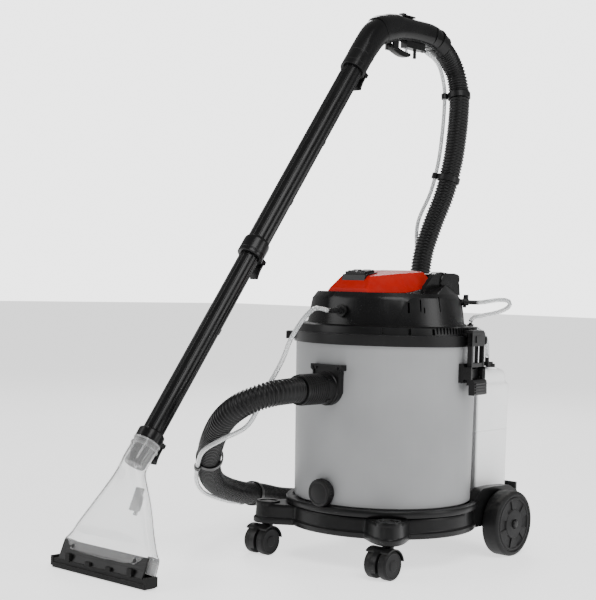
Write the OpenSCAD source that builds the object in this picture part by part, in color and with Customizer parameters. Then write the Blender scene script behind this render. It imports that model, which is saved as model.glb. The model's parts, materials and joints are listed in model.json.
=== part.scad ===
// Spray-extraction carpet cleaner: a recovery drum on a wheeled dolly, a motor head,
// a clean-water tank behind, a corrugated suction hose and a two-piece wand with a
// clear floor nozzle. Millimetres, +Z up. The origin is on the floor, on the drum's axis.
// The hose inlet faces -Y, the clean-water tank faces +Y.

/* [Drum] */
// Outer radius of the drum at its rim
drum_r_top = 165; // [160:1:168]
// Outer radius of the drum at its foot
drum_r_foot = 161; // [156:1:163]
// Height of the drum's foot above the floor
drum_z0 = 100; // [98:1:102]
// Height of the underside of the black rim band
rim_z = 388; // [384:1:392]
// Wall thickness of the drum
drum_wall = 3.5; // [3:0.5:4]

/* [Head] */
// Height of the band between drum and head
rim_h = 19; // [17:1:21]
// Height of the vented skirt
skirt_h = 16; // [14:1:18]
// Radius of the motor head where it meets the skirt
head_r = 146; // [142:1:148]
// Height of the flat top of the motor head above the floor
head_top_z = 480; // [476:1:482]
// Height of the raised red cover above the flat top
cover_h = 42; // [36:1:44]

/* [Dolly] */
// Outer radius of the dolly ring
ring_r = 172; // [170:1:174]
// Height of the dolly ring's lower edge
ring_z0 = 56; // [54:1:58]
// Distance of the casters from the drum's axis
caster_reach = 210; // [205:1:214]
// Angle of the casters from straight ahead
caster_angle = 41.5; // [38:0.5:45]
// Radius of the rear wheels
wheel_r = 60; // [56:1:62]
// Distance of each rear wheel's outer face from the middle
wheel_x = 184; // [180:1:188]
// Distance of the rear axle behind the drum's axis
axle_y = 164; // [158:1:168]

/* [Wand] */
// Sideways place of the wand
wand_x = -175; // [-185:1:-165]
// Lean of the wand from the vertical
wand_tilt = 36.5; // [35:0.5:38]
// Outer radius of the lower tube
tube_r_low = 19; // [18:0.5:19]
// Outer radius of the upper tube
tube_r_up = 21.5; // [21:0.5:22]
// Width of the floor nozzle's lip
lip_w = 234; // [220:2:240]

/* [Hose] */
// Outer radius of the suction hose
hose_r = 22; // [20:1:22]
// Outer radius of the clear tubes
line_r = 4; // [3:0.5:4]

/* [Hidden] */

eps = 0.02;
skirt_z = rim_z + rim_h;
head_z = skirt_z + skirt_h;
skirt_r = drum_r_top - 1;
black = "#1c1c1e";
dark = "#2a2a2c";
clear_grey = "#dfe3e4";
steel = "#b8bcc0";

// Side placement: s = -1 is the machine's left, s = 1 its right.
module on_side(s) { if (s > 0) children(); else mirror([1, 0, 0]) children(); }

// Ring standing on z0: outer and inner radius and height.
module ring(ro, ri, z0, h) {
    translate([0, 0, z0]) difference() {
        cylinder(r = ro, h = h, $fn = 96);
        translate([0, 0, -1]) cylinder(r = ri, h = h + 2, $fn = 96);
    }
}

// Cylinder along X, centred on x = 0.
module along_x(r, l, fn = 48) { rotate([0, 90, 0]) cylinder(r = r, h = l, center = true, $fn = fn); }

// Cylinder that runs towards -Y from y = 0.
module to_front(r, l, fn = 48) { rotate([90, 0, 0]) cylinder(r = r, h = l, $fn = fn); }

// ---- Cord sweep: a tube with flat sides along a list of points ----
function unit(v) = v / norm(v);
function tangent(p, i) = unit(p[min(i + 1, len(p) - 1)] - p[max(i - 1, 0)]);
function first_side(t) = unit(cross(t, abs(t[2]) < 0.9 ? [0, 0, 1] : [1, 0, 0]));
function next_side(n, t) = unit(n - t * (n * t));
function sides_along(p, i = 0, n = undef) =
    i == len(p) ? [] :
    let (t = tangent(p, i), m = is_undef(n) ? first_side(t) : next_side(n, t))
    concat([m], sides_along(p, i + 1, m));

module swept_tube(p, r, k) {
    s = sides_along(p);
    pts = [for (i = [0 : len(p) - 1]) let (t = tangent(p, i), b = cross(t, s[i]))
        for (j = [0 : k - 1]) p[i] + r * (cos(360 * j / k) * s[i] + sin(360 * j / k) * b)];
    n = len(p);
    walls = [for (i = [0 : n - 2]) for (j = [0 : k - 1])
        let (a = i * k + j, b = i * k + (j + 1) % k) each [[a, b, b + k], [a, b + k, a + k]]];
    polyhedron(points = pts, faces = concat([for (f = walls) [f[2], f[1], f[0]]],
        [[for (j = [0 : k - 1]) j]], [[for (j = [0 : k - 1]) (n - 1) * k + k - 1 - j]]), convexity = 10);
}

// ---- Cord routes ----
hose_route = [
    [5, -246, 311], [5, -272, 310], [-2, -299, 307], [-18, -322, 299], [-43, -336, 285],
    [-74, -336, 265], [-112, -320, 238], [-166, -282, 198], [-220, -232, 155], [-264, -176, 120],
    [-300, -108, 94], [-332, -24, 72], [-364, 66, 56], [-388, 145, 38], [-392, 215, 28],
    [-370, 280, 24], [-322, 325, 25], [-275, 352, 48], [-244, 366, 105], [-224, 370, 185],
    [-213, 370, 280], [-207, 370, 370], [-203, 370, 460], [-199, 374, 550], [-185, 386, 620],
    [-166, 402, 690], [-156, 416, 760], [-156, 430, 830], [-161, 442, 890], [-167, 446, 925],
    [-172, 440, 956], [-175, 423, 981], [-175, 399, 999], [-175, 372, 1012]];
line_route = [
    [13, -182, 447], [13, -200, 450], [16, -222, 450], [19, -246, 438], [16, -264, 418],
    [10, -276, 394], [2, -282, 366], [-14, -284, 338], [-30, -288, 311], [-34, -301, 281],
    [-51, -313, 247], [-82, -337, 225], [-128, -334, 202], [-186, -292, 170], [-243, -240, 128],
    [-288, -180, 96], [-324, -110, 72], [-356, -25, 50], [-389, 65, 38], [-413, 145, 23],
    [-419, 215, 12], [-394, 294, 10], [-332, 352, 14], [-278, 379, 37], [-250, 394, 100],
    [-235, 398, 182], [-230, 394, 280], [-226, 392, 370], [-224, 392, 460], [-226, 392, 550],
    [-212, 372, 627], [-190, 386, 696], [-182, 400, 762], [-182, 412, 830], [-186, 422, 884],
    [-189, 425, 920], [-187, 413, 947], [-181, 392, 966], [-176, 366, 978], [-175, 342, 985],
    [-175, 331, 989]];
loop_route = [
    [123, 110, 466], [132, 118, 467], [144, 128, 470], [157, 140, 472], [167, 149, 470],
    [168, 150, 461], [158, 141, 452], [144, 128, 446], [130, 116, 442], [119, 106, 438],
    [115, 103, 430]];
feed_route = [
    [75, 161, 415], [80, 172, 416], [86, 184, 409], [91, 193, 394], [92, 196, 377],
    [92, 196, 361]];

// ---- Dolly ----
lobe_r = 25;
lobe_top = 92;
shelf_y = 272;
shelf_x = 120;
axle_r = 5;

// Place on the left or right caster's stem.
module at_caster(s) {
    translate([s * caster_reach * sin(caster_angle), -caster_reach * cos(caster_angle), 0]) children();
}

module chassis_ring() color(black) difference() {
    union() {
        translate([0, 0, ring_z0]) cylinder(r = ring_r, h = 44, $fn = 96);
        translate([0, 0, 96]) cylinder(r = ring_r + 4, h = 8, $fn = 96);
        for (s = [-1, 1]) at_caster(s) translate([0, 0, ring_z0]) cylinder(r = lobe_r, h = lobe_top - ring_z0);
        for (s = [-1, 1]) rotate(s * caster_angle) translate([-lobe_r + 2, -caster_reach, ring_z0 + 1])
            cube([2 * lobe_r - 4, caster_reach - 150, lobe_top - ring_z0 - 7]);
        translate([-shelf_x, 120, ring_z0 + 1]) cube([2 * shelf_x, shelf_y - 120, 43]);
        translate([-shelf_x, shelf_y - 6, ring_z0 + 2]) cube([2 * shelf_x, 6, 62]);
        for (s = [-1, 1]) on_side(s) translate([shelf_x - 1, axle_y - 22, ring_z0 - 8]) cube([27, 44, 42]);
    }
    translate([0, 0, ring_z0 - 1]) cylinder(r = drum_r_foot + 3, h = 35, $fn = 96);
    translate([0, 0, 99]) cylinder(r = drum_r_foot + 3, h = 60, $fn = 96);
    translate([0, 0, 50]) cylinder(r = 118, h = 80, $fn = 96);
    translate([-shelf_x + 5, ring_r + 3, ring_z0 - 1]) cube([2 * shelf_x - 10, shelf_y - ring_r - 9, 38]);
    translate([0, axle_y, wheel_r]) along_x(axle_r + 0.05, 2 * wheel_x + 20);
    for (s = [-1, 1]) at_caster(s) {
        translate([0, 0, ring_z0 - 1]) cylinder(r = 5.05, h = 31);
        translate([0, 0, lobe_top - 3]) difference() {
            cylinder(r = 20, h = 4, $fn = 64);
            translate([0, 0, -1]) cylinder(r = 14, h = 6, $fn = 64);
        }
    }
}

module rear_axle() color(steel) translate([0, axle_y, wheel_r]) along_x(axle_r, 2 * wheel_x + 4);

wheel_w = 34;
module rear_wheel(s) color(dark) on_side(s) translate([wheel_x - wheel_w / 2, axle_y, wheel_r])
    rotate([0, 90, 0]) difference() {
        union() {
            translate([0, 0, -wheel_w / 2 + 4]) cylinder(r = wheel_r, h = wheel_w - 8, $fn = 96);
            for (m = [0, 1]) mirror([0, 0, m]) translate([0, 0, wheel_w / 2 - 4])
                cylinder(r1 = wheel_r, r2 = wheel_r - 5, h = 4, $fn = 96);
        }
        for (m = [0, 1]) mirror([0, 0, m]) translate([0, 0, wheel_w / 2 - 9]) difference() {
            cylinder(r = wheel_r - 13, h = 10, $fn = 96);
            translate([0, 0, -1]) cylinder(r = 13, h = 12);
        }
        translate([0, 0, -wheel_w]) cylinder(r = axle_r + 0.06, h = 2 * wheel_w, $fn = 48);
    }
module rear_wheel_left() rear_wheel(-1);
module rear_wheel_right() rear_wheel(1);

caster_r = 25;
trail = 14;
stem_top = 86;
// The casters stand swung to the front.
trail_angle = -90;
hood_r = 28.5;

module caster_frame(s) { at_caster(s) rotate(trail_angle) translate([trail, 0, caster_r]) children(); }

module caster_hood(s) color(black) {
    at_caster(s) translate([0, 0, 50]) cylinder(r = 5, h = stem_top - 50);
    caster_frame(s) difference() {
        union() {
            rotate([90, 0, 0]) cylinder(r = hood_r, h = 11, center = true, $fn = 64);
            intersection() {
                rotate([90, 0, 0]) cylinder(r = hood_r, h = 48, center = true, $fn = 64);
                translate([-hood_r - trail, -24, 5]) cube([hood_r + trail + 16, 48, 40]);
            }
            translate([-trail, 0, 18]) cylinder(r = 10, h = 11);
        }
        for (m = [-1, 1]) translate([0, m * 16, 0]) rotate([90, 0, 0])
            cylinder(r = caster_r + 1, h = 21, center = true, $fn = 64);
        rotate([90, 0, 0]) cylinder(r = 3.05, h = 60, center = true);
        translate([-60, -30, -60]) cube([120, 60, 48]);
    }
}
module caster_hood_left() caster_hood(-1);
module caster_hood_right() caster_hood(1);

module caster_axle(s) color(steel) caster_frame(s) rotate([90, 0, 0])
    cylinder(r = 3, h = 46, center = true);
module caster_axle_left() caster_axle(-1);
module caster_axle_right() caster_axle(1);

module caster_wheels(s) color(dark) caster_frame(s) for (m = [-1, 1])
    translate([0, m * 15.5, 0]) rotate([90, 0, 0]) difference() {
        cylinder(r = caster_r, h = 17, center = true, $fn = 64);
        cylinder(r = 3.05, h = 20, center = true, $fn = 48);
        translate([0, 0, -m * 6.6]) cylinder(r = caster_r - 6, h = 4.4, center = true, $fn = 64);
    }
module caster_wheels_left() caster_wheels(-1);
module caster_wheels_right() caster_wheels(1);

// ---- Drum ----
drum_top = skirt_z;
inlet_x = 5;
inlet_z = 311;
drain_z = 128;

module drum() color("#a7aaad") difference() {
    rotate_extrude($fn = 128) polygon([[0, drum_z0], [150, drum_z0], [drum_r_foot, drum_z0 + 8],
        [drum_r_top, rim_z], [drum_r_top, drum_top], [drum_r_top - drum_wall, drum_top],
        [drum_r_top - drum_wall, rim_z], [drum_r_foot - drum_wall, drum_z0 + 12],
        [148, drum_z0 + drum_wall], [0, drum_z0 + drum_wall]]);
    translate([inlet_x, -120, inlet_z]) to_front(19.3, 60);
    translate([0, -120, drain_z]) to_front(14.5, 60);
}

grip_angle = 128;
module rim_band() color(black) {
    ring(drum_r_top + 4, drum_r_top, rim_z, rim_h);
    for (a = [grip_angle, grip_angle + 180]) rotate(a - 90) translate([drum_r_top + 3.5, -17, rim_z + 3])
        difference() {
            cube([15, 34, 14]);
            translate([3, 3, -1]) cube([9, 28, 12]);
        }
}

module drain_spout() color(black) translate([0, -drum_r_foot + 8, drain_z]) difference() {
    union() {
        to_front(14.4, 20);
        translate([0, -9.5, 0]) to_front(22, 3);
        translate([0, -12, 0]) to_front(18, 10);
    }
    translate([0, 1, 0]) to_front(11, 40);
}

module drain_cap() color(dark) translate([0, -drum_r_foot - 4.8, drain_z]) difference() {
    to_front(24, 15, 64);
    translate([0, 1, 0]) to_front(18.3, 11.5);
    for (a = [0 : 20 : 340]) rotate([0, a, 0]) translate([24.4, -7, 0]) rotate([90, 0, 0])
        cylinder(r = 1.4, h = 20, center = true, $fn = 16);
}

// The inlet plate's outline, seen from the front: a rounded shield.
plate_w = 60;
// Screws from the inlet's centre: sideways and up.
plate_screws = [[26.9, 16], [24, 36]];
module inlet_plate() color(black) {
    difference() {
        union() {
            translate([inlet_x, -150, inlet_z]) rotate([90, 0, 0]) linear_extrude(height = 23)
                union() {
                    translate([-plate_w / 2, -8]) square([plate_w, 48]);
                    circle(r = plate_w / 2, $fn = 64);
                    translate([-plate_w / 2 - 5, 32]) square([plate_w + 10, 10]);
                }
            translate([inlet_x, -160, inlet_z]) to_front(27, 24, 64);
        }
        translate([0, 0, 200]) cylinder(r = drum_r_top + 0.4, h = 200, $fn = 128);
        translate([inlet_x, -100, inlet_z]) to_front(hose_r + 0.05, 120, 64);
        for (m = [-1, 1]) for (at = plate_screws)
            translate([inlet_x + m * at[0], -166, inlet_z + at[1]]) to_front(1.25, 20, 24);
    }
    translate([inlet_x, -150, inlet_z]) difference() {
        to_front(19.2, 18, 64);
        translate([0, 1, 0]) to_front(17, 30, 64);
    }
}

module hose_cuffs() color(black) {
    translate([inlet_x, -172, inlet_z]) difference() {
        union() {
            to_front(hose_r, 12, 64);
            translate([0, -12.3, 0]) to_front(27, 10, 64);
            translate([0, -22, 0]) to_front(26, 52, 64);
        }
        translate([0, 1, 0]) to_front(18, 70, 48);
        translate([0, -40, 0]) to_front(hose_r + 0.3, 60, 64);
    }
    handle_end() difference() {
        union() {
            translate([0, 0, 1]) cylinder(r = 25.5, h = 26, $fn = 64);
            translate([0, 0, 1]) cylinder(r = 27, h = 6, $fn = 64);
        }
        translate([0, 0, -3]) cylinder(r = hose_r + 0.3, h = 40, $fn = 64);
    }
}

// ---- Latches ----
latch_angle = 100;
pivot_r = 180;
pivot_z = 345;
bail_r = 178;
bail_z = 333;
cheek = 31;
lug_z = 408.5;

// Latch placement: x points outwards, y along the rim, z up.
module at_latch(s) { on_side(s) rotate(latch_angle - 90) children(); }

module latch_bases() color(black) for (s = [-1, 1]) at_latch(s) {
    difference() {
        union() {
            translate([155, -cheek, pivot_z - 20]) cube([16, 2 * cheek, 34]);
            for (m = [-1, 1]) translate([155, m * (cheek - 2) - 2, pivot_z - 14])
                cube([31, 4, 22]);
        }
        translate([0, 0, 250]) cylinder(r = drum_r_top + 0.1, h = 200, $fn = 128);
        translate([pivot_r, 0, pivot_z]) rotate([90, 0, 0]) cylinder(r = 2.05, h = 90, center = true, $fn = 32);
    }
}

module latch_lever(s) color(black) at_latch(s) {
    difference() {
        union() {
            for (m = [-1, 1]) translate([pivot_r - 5, m * 23.5 - 1.5, pivot_z - 24]) cube([10, 3, 28]);
            translate([pivot_r + 1, -25, pivot_z - 41]) cube([5, 50, 24]);
            for (i = [0 : 3]) translate([pivot_r + 5, -23, pivot_z - 39 + 5.5 * i]) cube([2.5, 46, 2.5]);
        }
        translate([bail_r, 0, bail_z]) rotate([90, 0, 0]) cylinder(r = 2.05, h = 60, center = true, $fn = 32);
    }
    for (m = [-1, 1]) translate([pivot_r, m * 28, pivot_z]) rotate([90, 0, 0])
        cylinder(r = 2, h = 6, center = true, $fn = 32);
}
module latch_lever_left() latch_lever(-1);
module latch_lever_right() latch_lever(1);

module latch_bail(s) color(black) at_latch(s) {
    difference() {
        translate([bail_r - 5, -20, bail_z - 3]) cube([3, 40, 88]);
        translate([bail_r - 6, -11, bail_z + 16]) cube([5, 22, 40]);
    }
    translate([bail_r - 13, -20, bail_z + 81]) cube([11, 40, 4]);
    for (m = [-1, 1]) {
        translate([bail_r - 5, m * 18 - 2, bail_z - 3]) cube([8, 4, 6]);
        translate([bail_r, m * 21.5, bail_z]) rotate([90, 0, 0]) cylinder(r = 2, h = 7, center = true, $fn = 32);
    }
}
module latch_bail_left() latch_bail(-1);
module latch_bail_right() latch_bail(1);

// ---- Motor head ----
module head_skirt() color(black) {
    skirt_ring();
    // Lugs that the latches hook over, bolted on just outside the skirt.
    for (s = [-1, 1]) at_latch(s) difference() {
        translate([155, -22, lug_z]) cube([17.5, 44, 5]);
        translate([0, 0, lug_z - 1]) cylinder(r = skirt_r + 0.1, h = 10, $fn = 128);
    }
}

module skirt_ring() difference() {
    rotate_extrude($fn = 128) polygon([[34, skirt_z + 6], [34, head_z], [skirt_r - 6, head_z],
        [skirt_r - 2, head_z - 3], [skirt_r, skirt_z + 3], [skirt_r, skirt_z], [156, skirt_z],
        [156, skirt_z - 22], [152, skirt_z - 22], [152, skirt_z + 6]]);
    translate([0, 0, skirt_z]) cylinder(r = 30, h = 30, $fn = 64);
    at_feed() translate([0, 0, -30]) cylinder(r = 5.3, h = 40);
    translate([ledge_x, ledge_y, skirt_z - 10]) cylinder(r = 3.3, h = 40);
}

module head_gasket() color("#3a3a3c") ring(161, 156, skirt_z - 16, 8);

module head_outline(t) {
    polygon([[0, head_z], [head_r - t, head_z], [head_r - 9 - t, head_top_z - 12],
        [head_r - 18 - t, head_top_z - t], [0, head_top_z - t]]);
}

module head_body() color(black) difference() {
    union() {
        rotate_extrude($fn = 128) head_outline(0);
        hull() {
            intersection() {
                translate([0, 0, head_top_z - 3]) cylinder(r = 127, h = 2, $fn = 48);
                translate([-130, -20, 0]) cube([260, 150, 600]);
            }
            intersection() {
                translate([0, 0, head_top_z + 14]) cylinder(r = 112, h = 2, $fn = 48);
                translate([-130, 29, 0]) cube([260, 150, 600]);
            }
        }
        for (s = [-1, 1]) translate([s * 53, handle_y - 2, head_top_z + 13]) cube([12, 44, 44], center = true);
    }
    translate([0, 0, -eps]) rotate_extrude($fn = 128) head_outline(4);
    translate([-85, -120, head_top_z]) cube([170, 148.6, 60]);
    translate([13, -100, 447]) to_front(6.3, 60);
    at_barb() translate([0, 0, -30]) cylinder(r = 6.3, h = 60);
    for (s = [-1, 1]) translate([s * 53, handle_y, handle_z]) along_x(4.05, 20);
    for (s = [-1, 1]) translate([s * hub_x, handle_y, handle_z]) along_x(hub_r + 0.6, 25.2, 64);
}

cover_low = [[-46, -116], [46, -116], [82, -50], [82, 28], [-82, 28], [-82, -50]];
cover_high = [[-36, -70], [36, -70], [64, -35], [64, 28], [-64, 28], [-64, -35]];
module top_cover() color("#c8341c") difference() {
    hull() {
        translate([0, 0, head_top_z]) linear_extrude(height = 1) polygon(cover_low);
        translate([0, 0, head_top_z + cover_h - 6]) linear_extrude(height = 1) polygon(cover_high);
        translate([-60, 27, head_top_z + cover_h - 1]) cube([120, 1, 1]);
    }
    hull() {
        translate([0, 0, head_top_z - 1]) linear_extrude(height = 2) polygon(0.94 * cover_low);
        translate([0, 0, head_top_z + cover_h - 11]) linear_extrude(height = 1) polygon(0.92 * cover_high);
    }
    translate([-23.2, -97.2, head_top_z + 6]) cube([46.4, 30.4, 60]);
}

switch_z = head_top_z + cover_h - 5;
rocker_tilt = 8;
module switch_box() color(black) difference() {
    translate([-23, -97, head_top_z]) cube([46, 30, switch_z + 2 - head_top_z]);
    for (s = [-1, 1]) translate([s * 11 - 8.2, -92.2, switch_z - 15]) cube([16.4, 20.4, 30]);
    translate([0, -82, switch_z - 5]) along_x(1.55, 60, 32);
}

module rocker(s) color("#303033") translate([s * 11, -82, switch_z - 5]) rotate([rocker_tilt, 0, 0]) {
    rotate([0, 90, 0]) cylinder(r = 1.5, h = 19, center = true, $fn = 32);
    rotate([0, 90, 0]) cylinder(r = 4, h = 15, center = true, $fn = 32);
    difference() {
        translate([-7.5, -9, 0]) cube([15, 18, 8]);
        translate([-9, 0, 47]) rotate([0, 90, 0]) cylinder(r = 40, h = 18, $fn = 96);
    }
}
module rocker_vacuum() rocker(-1);
module rocker_pump() rocker(1);

handle_y = 55;
handle_z = head_top_z + 25;
hub_r = 15.5;
hub_x = 72;
module carry_handle() color(dark) {
    for (s = [-1, 1]) {
        translate([s * hub_x, handle_y, handle_z]) along_x(hub_r, 24, 64);
        translate([s * 56, handle_y, handle_z]) along_x(4, 18);
        translate([s * hub_x - 12, handle_y, handle_z - 6]) cube([24, 38, 18]);
    }
    translate([0, handle_y + 44, handle_z + 3]) along_x(11, 168);
}

motor_r = 60;
module motor_housing() color("#5a5d60") difference() {
    union() {
        translate([0, 0, head_z]) cylinder(r = motor_r + 6, h = 3, $fn = 96);
        translate([0, 0, head_z]) cylinder(r = motor_r, h = 48, $fn = 96);
    }
    translate([0, 0, head_z + 4]) cylinder(r = motor_r - 4, h = 40, $fn = 96);
    translate([0, 0, head_z - 1]) cylinder(r = 4.05, h = 60, $fn = 48);
    for (a = [0 : 60 : 300]) rotate(a) translate([20, 0, head_z - 1]) cylinder(r = 5, h = 6);
}

module motor_rotor() color("#8c6a45") {
    translate([0, 0, head_z - 4]) cylinder(r = 4, h = 54, $fn = 48);
    translate([0, 0, head_z + 8]) cylinder(r = 50, h = 10, $fn = 96);
    translate([0, 0, head_z + 22]) cylinder(r = 26, h = 18, $fn = 64);
}

module pump_body() color("#44474a") translate([13, -90, 447]) difference() {
    union() {
        translate([-28, -15, -16]) cube([56, 30, 32]);
        translate([0, 0, -24]) cylinder(r = 6, h = 10);
    }
    to_front(4.05, 40);
}

module pump_barb() color(black) translate([13, 0, 447]) difference() {
    union() {
        translate([0, -98, 0]) to_front(4, 86);
        translate([0, -105.1, 0]) to_front(6, 50);
        translate([0, -144, 0]) to_front(11, 5, 48);
        for (y = [160, 166, 172]) translate([0, -y, 0]) to_front(5, 3);
    }
    translate([0, -90, 0]) to_front(2.2, 100);
}

module float_cage() color(dark) {
    ring(38, 33, skirt_z - 70, 4);
    translate([0, 0, skirt_z - 74]) cylinder(r = 38, h = 4, $fn = 64);
    ring(38, 30.5, skirt_z + 2, 4);
    for (a = [0 : 60 : 300]) rotate(a) translate([33.2, -4, skirt_z - 70]) cube([4.3, 8, 74]);
}

module float_cup() color("#d8d2c4") translate([0, 0, skirt_z - 69.8]) difference() {
    cylinder(r = 28, h = 26, $fn = 64);
    translate([0, 0, -1]) cylinder(r = 25, h = 23, $fn = 64);
}

// Barbs of the water line: on the head's side, on the skirt's ledge and behind the skirt.
barb_angle = 131.7;
feed_angle = 155;
barb_z = 466;
feed_z = 415;
ledge_r = 154.5;
ledge_x = ledge_r * sin(barb_angle);
ledge_y = -ledge_r * cos(barb_angle);
module at_barb() rotate(barb_angle - 90) translate([138, 0, barb_z]) rotate([0, 90, 0]) children();
module at_feed() rotate(feed_angle - 90) translate([166, 0, feed_z]) rotate([0, 90, 0]) children();
module line_fittings() color(black) {
    at_barb() {
        translate([0, 0, -12]) cylinder(r = 6, h = 24);
        translate([0, 0, 2.2]) cylinder(r = 10, h = 5, $fn = 48);
        translate([0, 0, 11]) cylinder(r = 4, h = 15.5);
        translate([-14, 0, 7]) rotate([0, 90, 0]) cylinder(r = 4.5, h = 12);
    }
    at_feed() {
        translate([0, 0, -9]) cylinder(r = 5, h = 13);
        cylinder(r = 8, h = 3);
        translate([0, 0, 3]) cylinder(r = 4, h = 8.5);
    }
    translate([ledge_x, ledge_y, head_z - 8]) cylinder(r = 3, h = 14);
    translate([ledge_x, ledge_y, head_z]) cylinder(r = 6, h = 3);
}

// ---- Clean-water tank ----
tank_z0 = 101;
tank_z1 = 340;
tank_x = 112;
tank_back = 264;
module tank_block(t, z0, z1) {
    translate([0, 0, z0]) linear_extrude(height = z1 - z0) difference() {
        union() {
            translate([-tank_x + t, 120]) square([2 * (tank_x - t), 120]);
            translate([-tank_x + 24, 120]) square([2 * (tank_x - 24), tank_back - 120 - t]);
            for (s = [-1, 1]) translate([s * (tank_x - 24), tank_back - 24]) circle(r = 24 - t, $fn = 64);
        }
        circle(r = ring_r + 5 + t, $fn = 128);
    }
}
neck_x = -40;
tank_mid_y = 218;
dip_x = 92;
dip_y = 208;
weld_gap = 0.02;
module clean_tank() color("#eef1f2") {
    difference() {
        tank_block(0, tank_z0, tank_z1);
        tank_block(3, tank_z0 + 3, tank_z1 - 3);
        translate([neck_x, tank_mid_y, tank_z1 - 5]) cylinder(r = 19, h = 30, $fn = 64);
        translate([dip_x, dip_y, tank_z1 - 5]) cylinder(r = 6.05, h = 30, $fn = 48);
    }
    translate([neck_x, tank_mid_y, 0]) ring(22, 19, tank_z1 + weld_gap, 12);
    translate([dip_x, dip_y, 0]) ring(12, 6.05, tank_z1 + weld_gap, 2.9);
}

module tank_fitting() color(black) difference() {
    union() {
        translate([dip_x, dip_y, tank_z0 + 12]) cylinder(r = 6, h = tank_z1 - tank_z0 - 6, $fn = 48);
        translate([dip_x, dip_y, tank_z1 + 3]) cylinder(r = 9, h = 6, $fn = 48);
        translate([86, 191, tank_z1 + 5]) cube([12, 17, 8]);
        translate([92, 196, tank_z1 + 10]) cylinder(r = 4, h = 11, $fn = 32);
    }
    translate([dip_x, dip_y, tank_z0]) cylinder(r = 3.5, h = tank_z1 - tank_z0 + 4, $fn = 32);
}

module tank_cap() color(dark) translate([neck_x, tank_mid_y, tank_z1 + 0.4]) difference() {
    cylinder(r = 27, h = 18, $fn = 64);
    translate([0, 0, -1]) cylinder(r = 22.3, h = 13.4, $fn = 64);
    for (a = [0 : 20 : 340]) rotate(a) translate([27.5, 0, -1]) cylinder(r = 1.5, h = 30, $fn = 16);
}

// ---- Wand ----
neck_y = -424;
neck_z = 217;
lip_y = -515;
nozzle_tilt = 22.5;
collar_mid = 400;
collar_top = 868;
tube_top = 918;

// Wand frame: z runs up the tube, y points to the underside, w is the distance from the neck.
module wand_frame(w = 0) {
    translate([wand_x, neck_y, neck_z]) rotate([-wand_tilt, 0, 0]) translate([0, 0, w]) children();
}
// Nozzle frame: z runs up the nozzle's face from the lip, y points to its back.
module nozzle_frame() translate([wand_x, lip_y, 0]) rotate([-nozzle_tilt, 0, 0]) children();

// The nozzle's half widths and half depths at heights above the lip.
fan = [[190, 20, 20], [150, 36, 17], [66, 86, 13.5], [50, lip_w / 2 - 6, 13.5], [22, lip_w / 2 - 4, 13.5]];
module fan_slice(i, t) {
    translate([0, 0, fan[i][0]]) linear_extrude(height = 0.5) hull() for (m = [-1, 1])
        translate([m * (fan[i][1] - fan[i][2]), 0]) circle(r = fan[i][2] - t, $fn = 24);
}

module nozzle_body() color(clear_grey) difference() {
    union() {
        nozzle_frame() for (i = [0 : 3]) hull() { fan_slice(i, 0); fan_slice(i + 1, 0); }
        wand_frame(-52) cylinder(r = tube_r_low + 4, h = 52, $fn = 32);
    }
    nozzle_frame() {
        for (i = [0 : 1]) hull() { fan_slice(i, 3); fan_slice(i + 1, 3); }
        hull() { fan_slice(2, 3); translate([0, 0, -30]) fan_slice(3, 3); }
        translate([-lip_w / 2 + 9, -10.2, 0]) cube([lip_w - 18, 20.4, 52]);
    }
    wand_frame(-62) cylinder(r = tube_r_low + 0.3, h = 80, $fn = 32);
}

module nozzle_holder() color(black) nozzle_frame() difference() {
    translate([-lip_w / 2 + 10, -10, 22.4]) cube([lip_w - 20, 20, 28]);
    translate([-lip_w / 2 + 18, -4.5, 10]) cube([lip_w - 36, 9, 60]);
}

module nozzle_lip() color("#151516") translate([wand_x - lip_w / 2, lip_y - 12, 0]) difference() {
    union() {
        cube([lip_w, 24, 10]);
        translate([-3, 1, 9.5]) cube([lip_w + 6, 24, 8]);
    }
    translate([10, 7.5, -1]) cube([lip_w - 20, 9, 40]);
}

module spray_tip() color(dark) nozzle_frame() {
    translate([-9, 18.2, 120]) cube([18, 5, 40]);
    translate([0, 27, 122]) cylinder(r = 6, h = 26, $fn = 32);
    translate([0, 27, 114]) cylinder(r = 3.5, h = 9, $fn = 32);
    translate([-5, 20, 124]) cube([10, 6, 20]);
}

module cover_screws() color(steel) {
    for (m = [-1, 1]) nozzle_frame() translate([m * 78, -13.6, 38]) to_front(4, 2.4, 24);
    for (m = [-1, 1]) for (at = plate_screws) translate([inlet_x + m * at[0], -173, inlet_z + at[1]]) {
        to_front(2.7, 2.2, 24);
        translate([0, 6, 0]) to_front(1.2, 6.5, 24);
    }
}

module wand_lower() color(dark) wand_frame() difference() {
    union() {
        translate([0, 0, -46]) cylinder(r = tube_r_low, h = collar_mid + 86, $fn = 64);
        translate([-4, tube_r_low - 1, 240]) cube([8, 5, 12]);
        translate([0, 0, 1]) cylinder(r = tube_r_low + 5, h = 18, $fn = 64);
        lock_ears(low_w, tube_r_low + 5);
    }
    translate([0, 0, -60]) cylinder(r = tube_r_low - 2.5, h = collar_mid + 140, $fn = 64);
    lock_bore(low_w, tube_r_low + 5);
}

module wand_upper() color(dark) wand_frame() difference() {
    union() {
        translate([0, 0, collar_mid]) cylinder(r = tube_r_up, h = tube_top - collar_mid, $fn = 64);
        translate([0, 0, collar_mid]) cylinder(r = tube_r_up + 3.5, h = 34, $fn = 64);
        for (w = [549, 698]) translate([-4, tube_r_up - 1, w - 6]) cube([8, 5, 12]);
        lock_ears(mid_w, tube_r_up + 3.5);
    }
    translate([0, 0, collar_mid - 1]) cylinder(r = tube_r_low + 0.05, h = 48, $fn = 64);
    translate([0, 0, collar_mid]) cylinder(r = tube_r_low - 0.5, h = 600, $fn = 64);
    lock_bore(mid_w, tube_r_up + 3.5);
}

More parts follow.
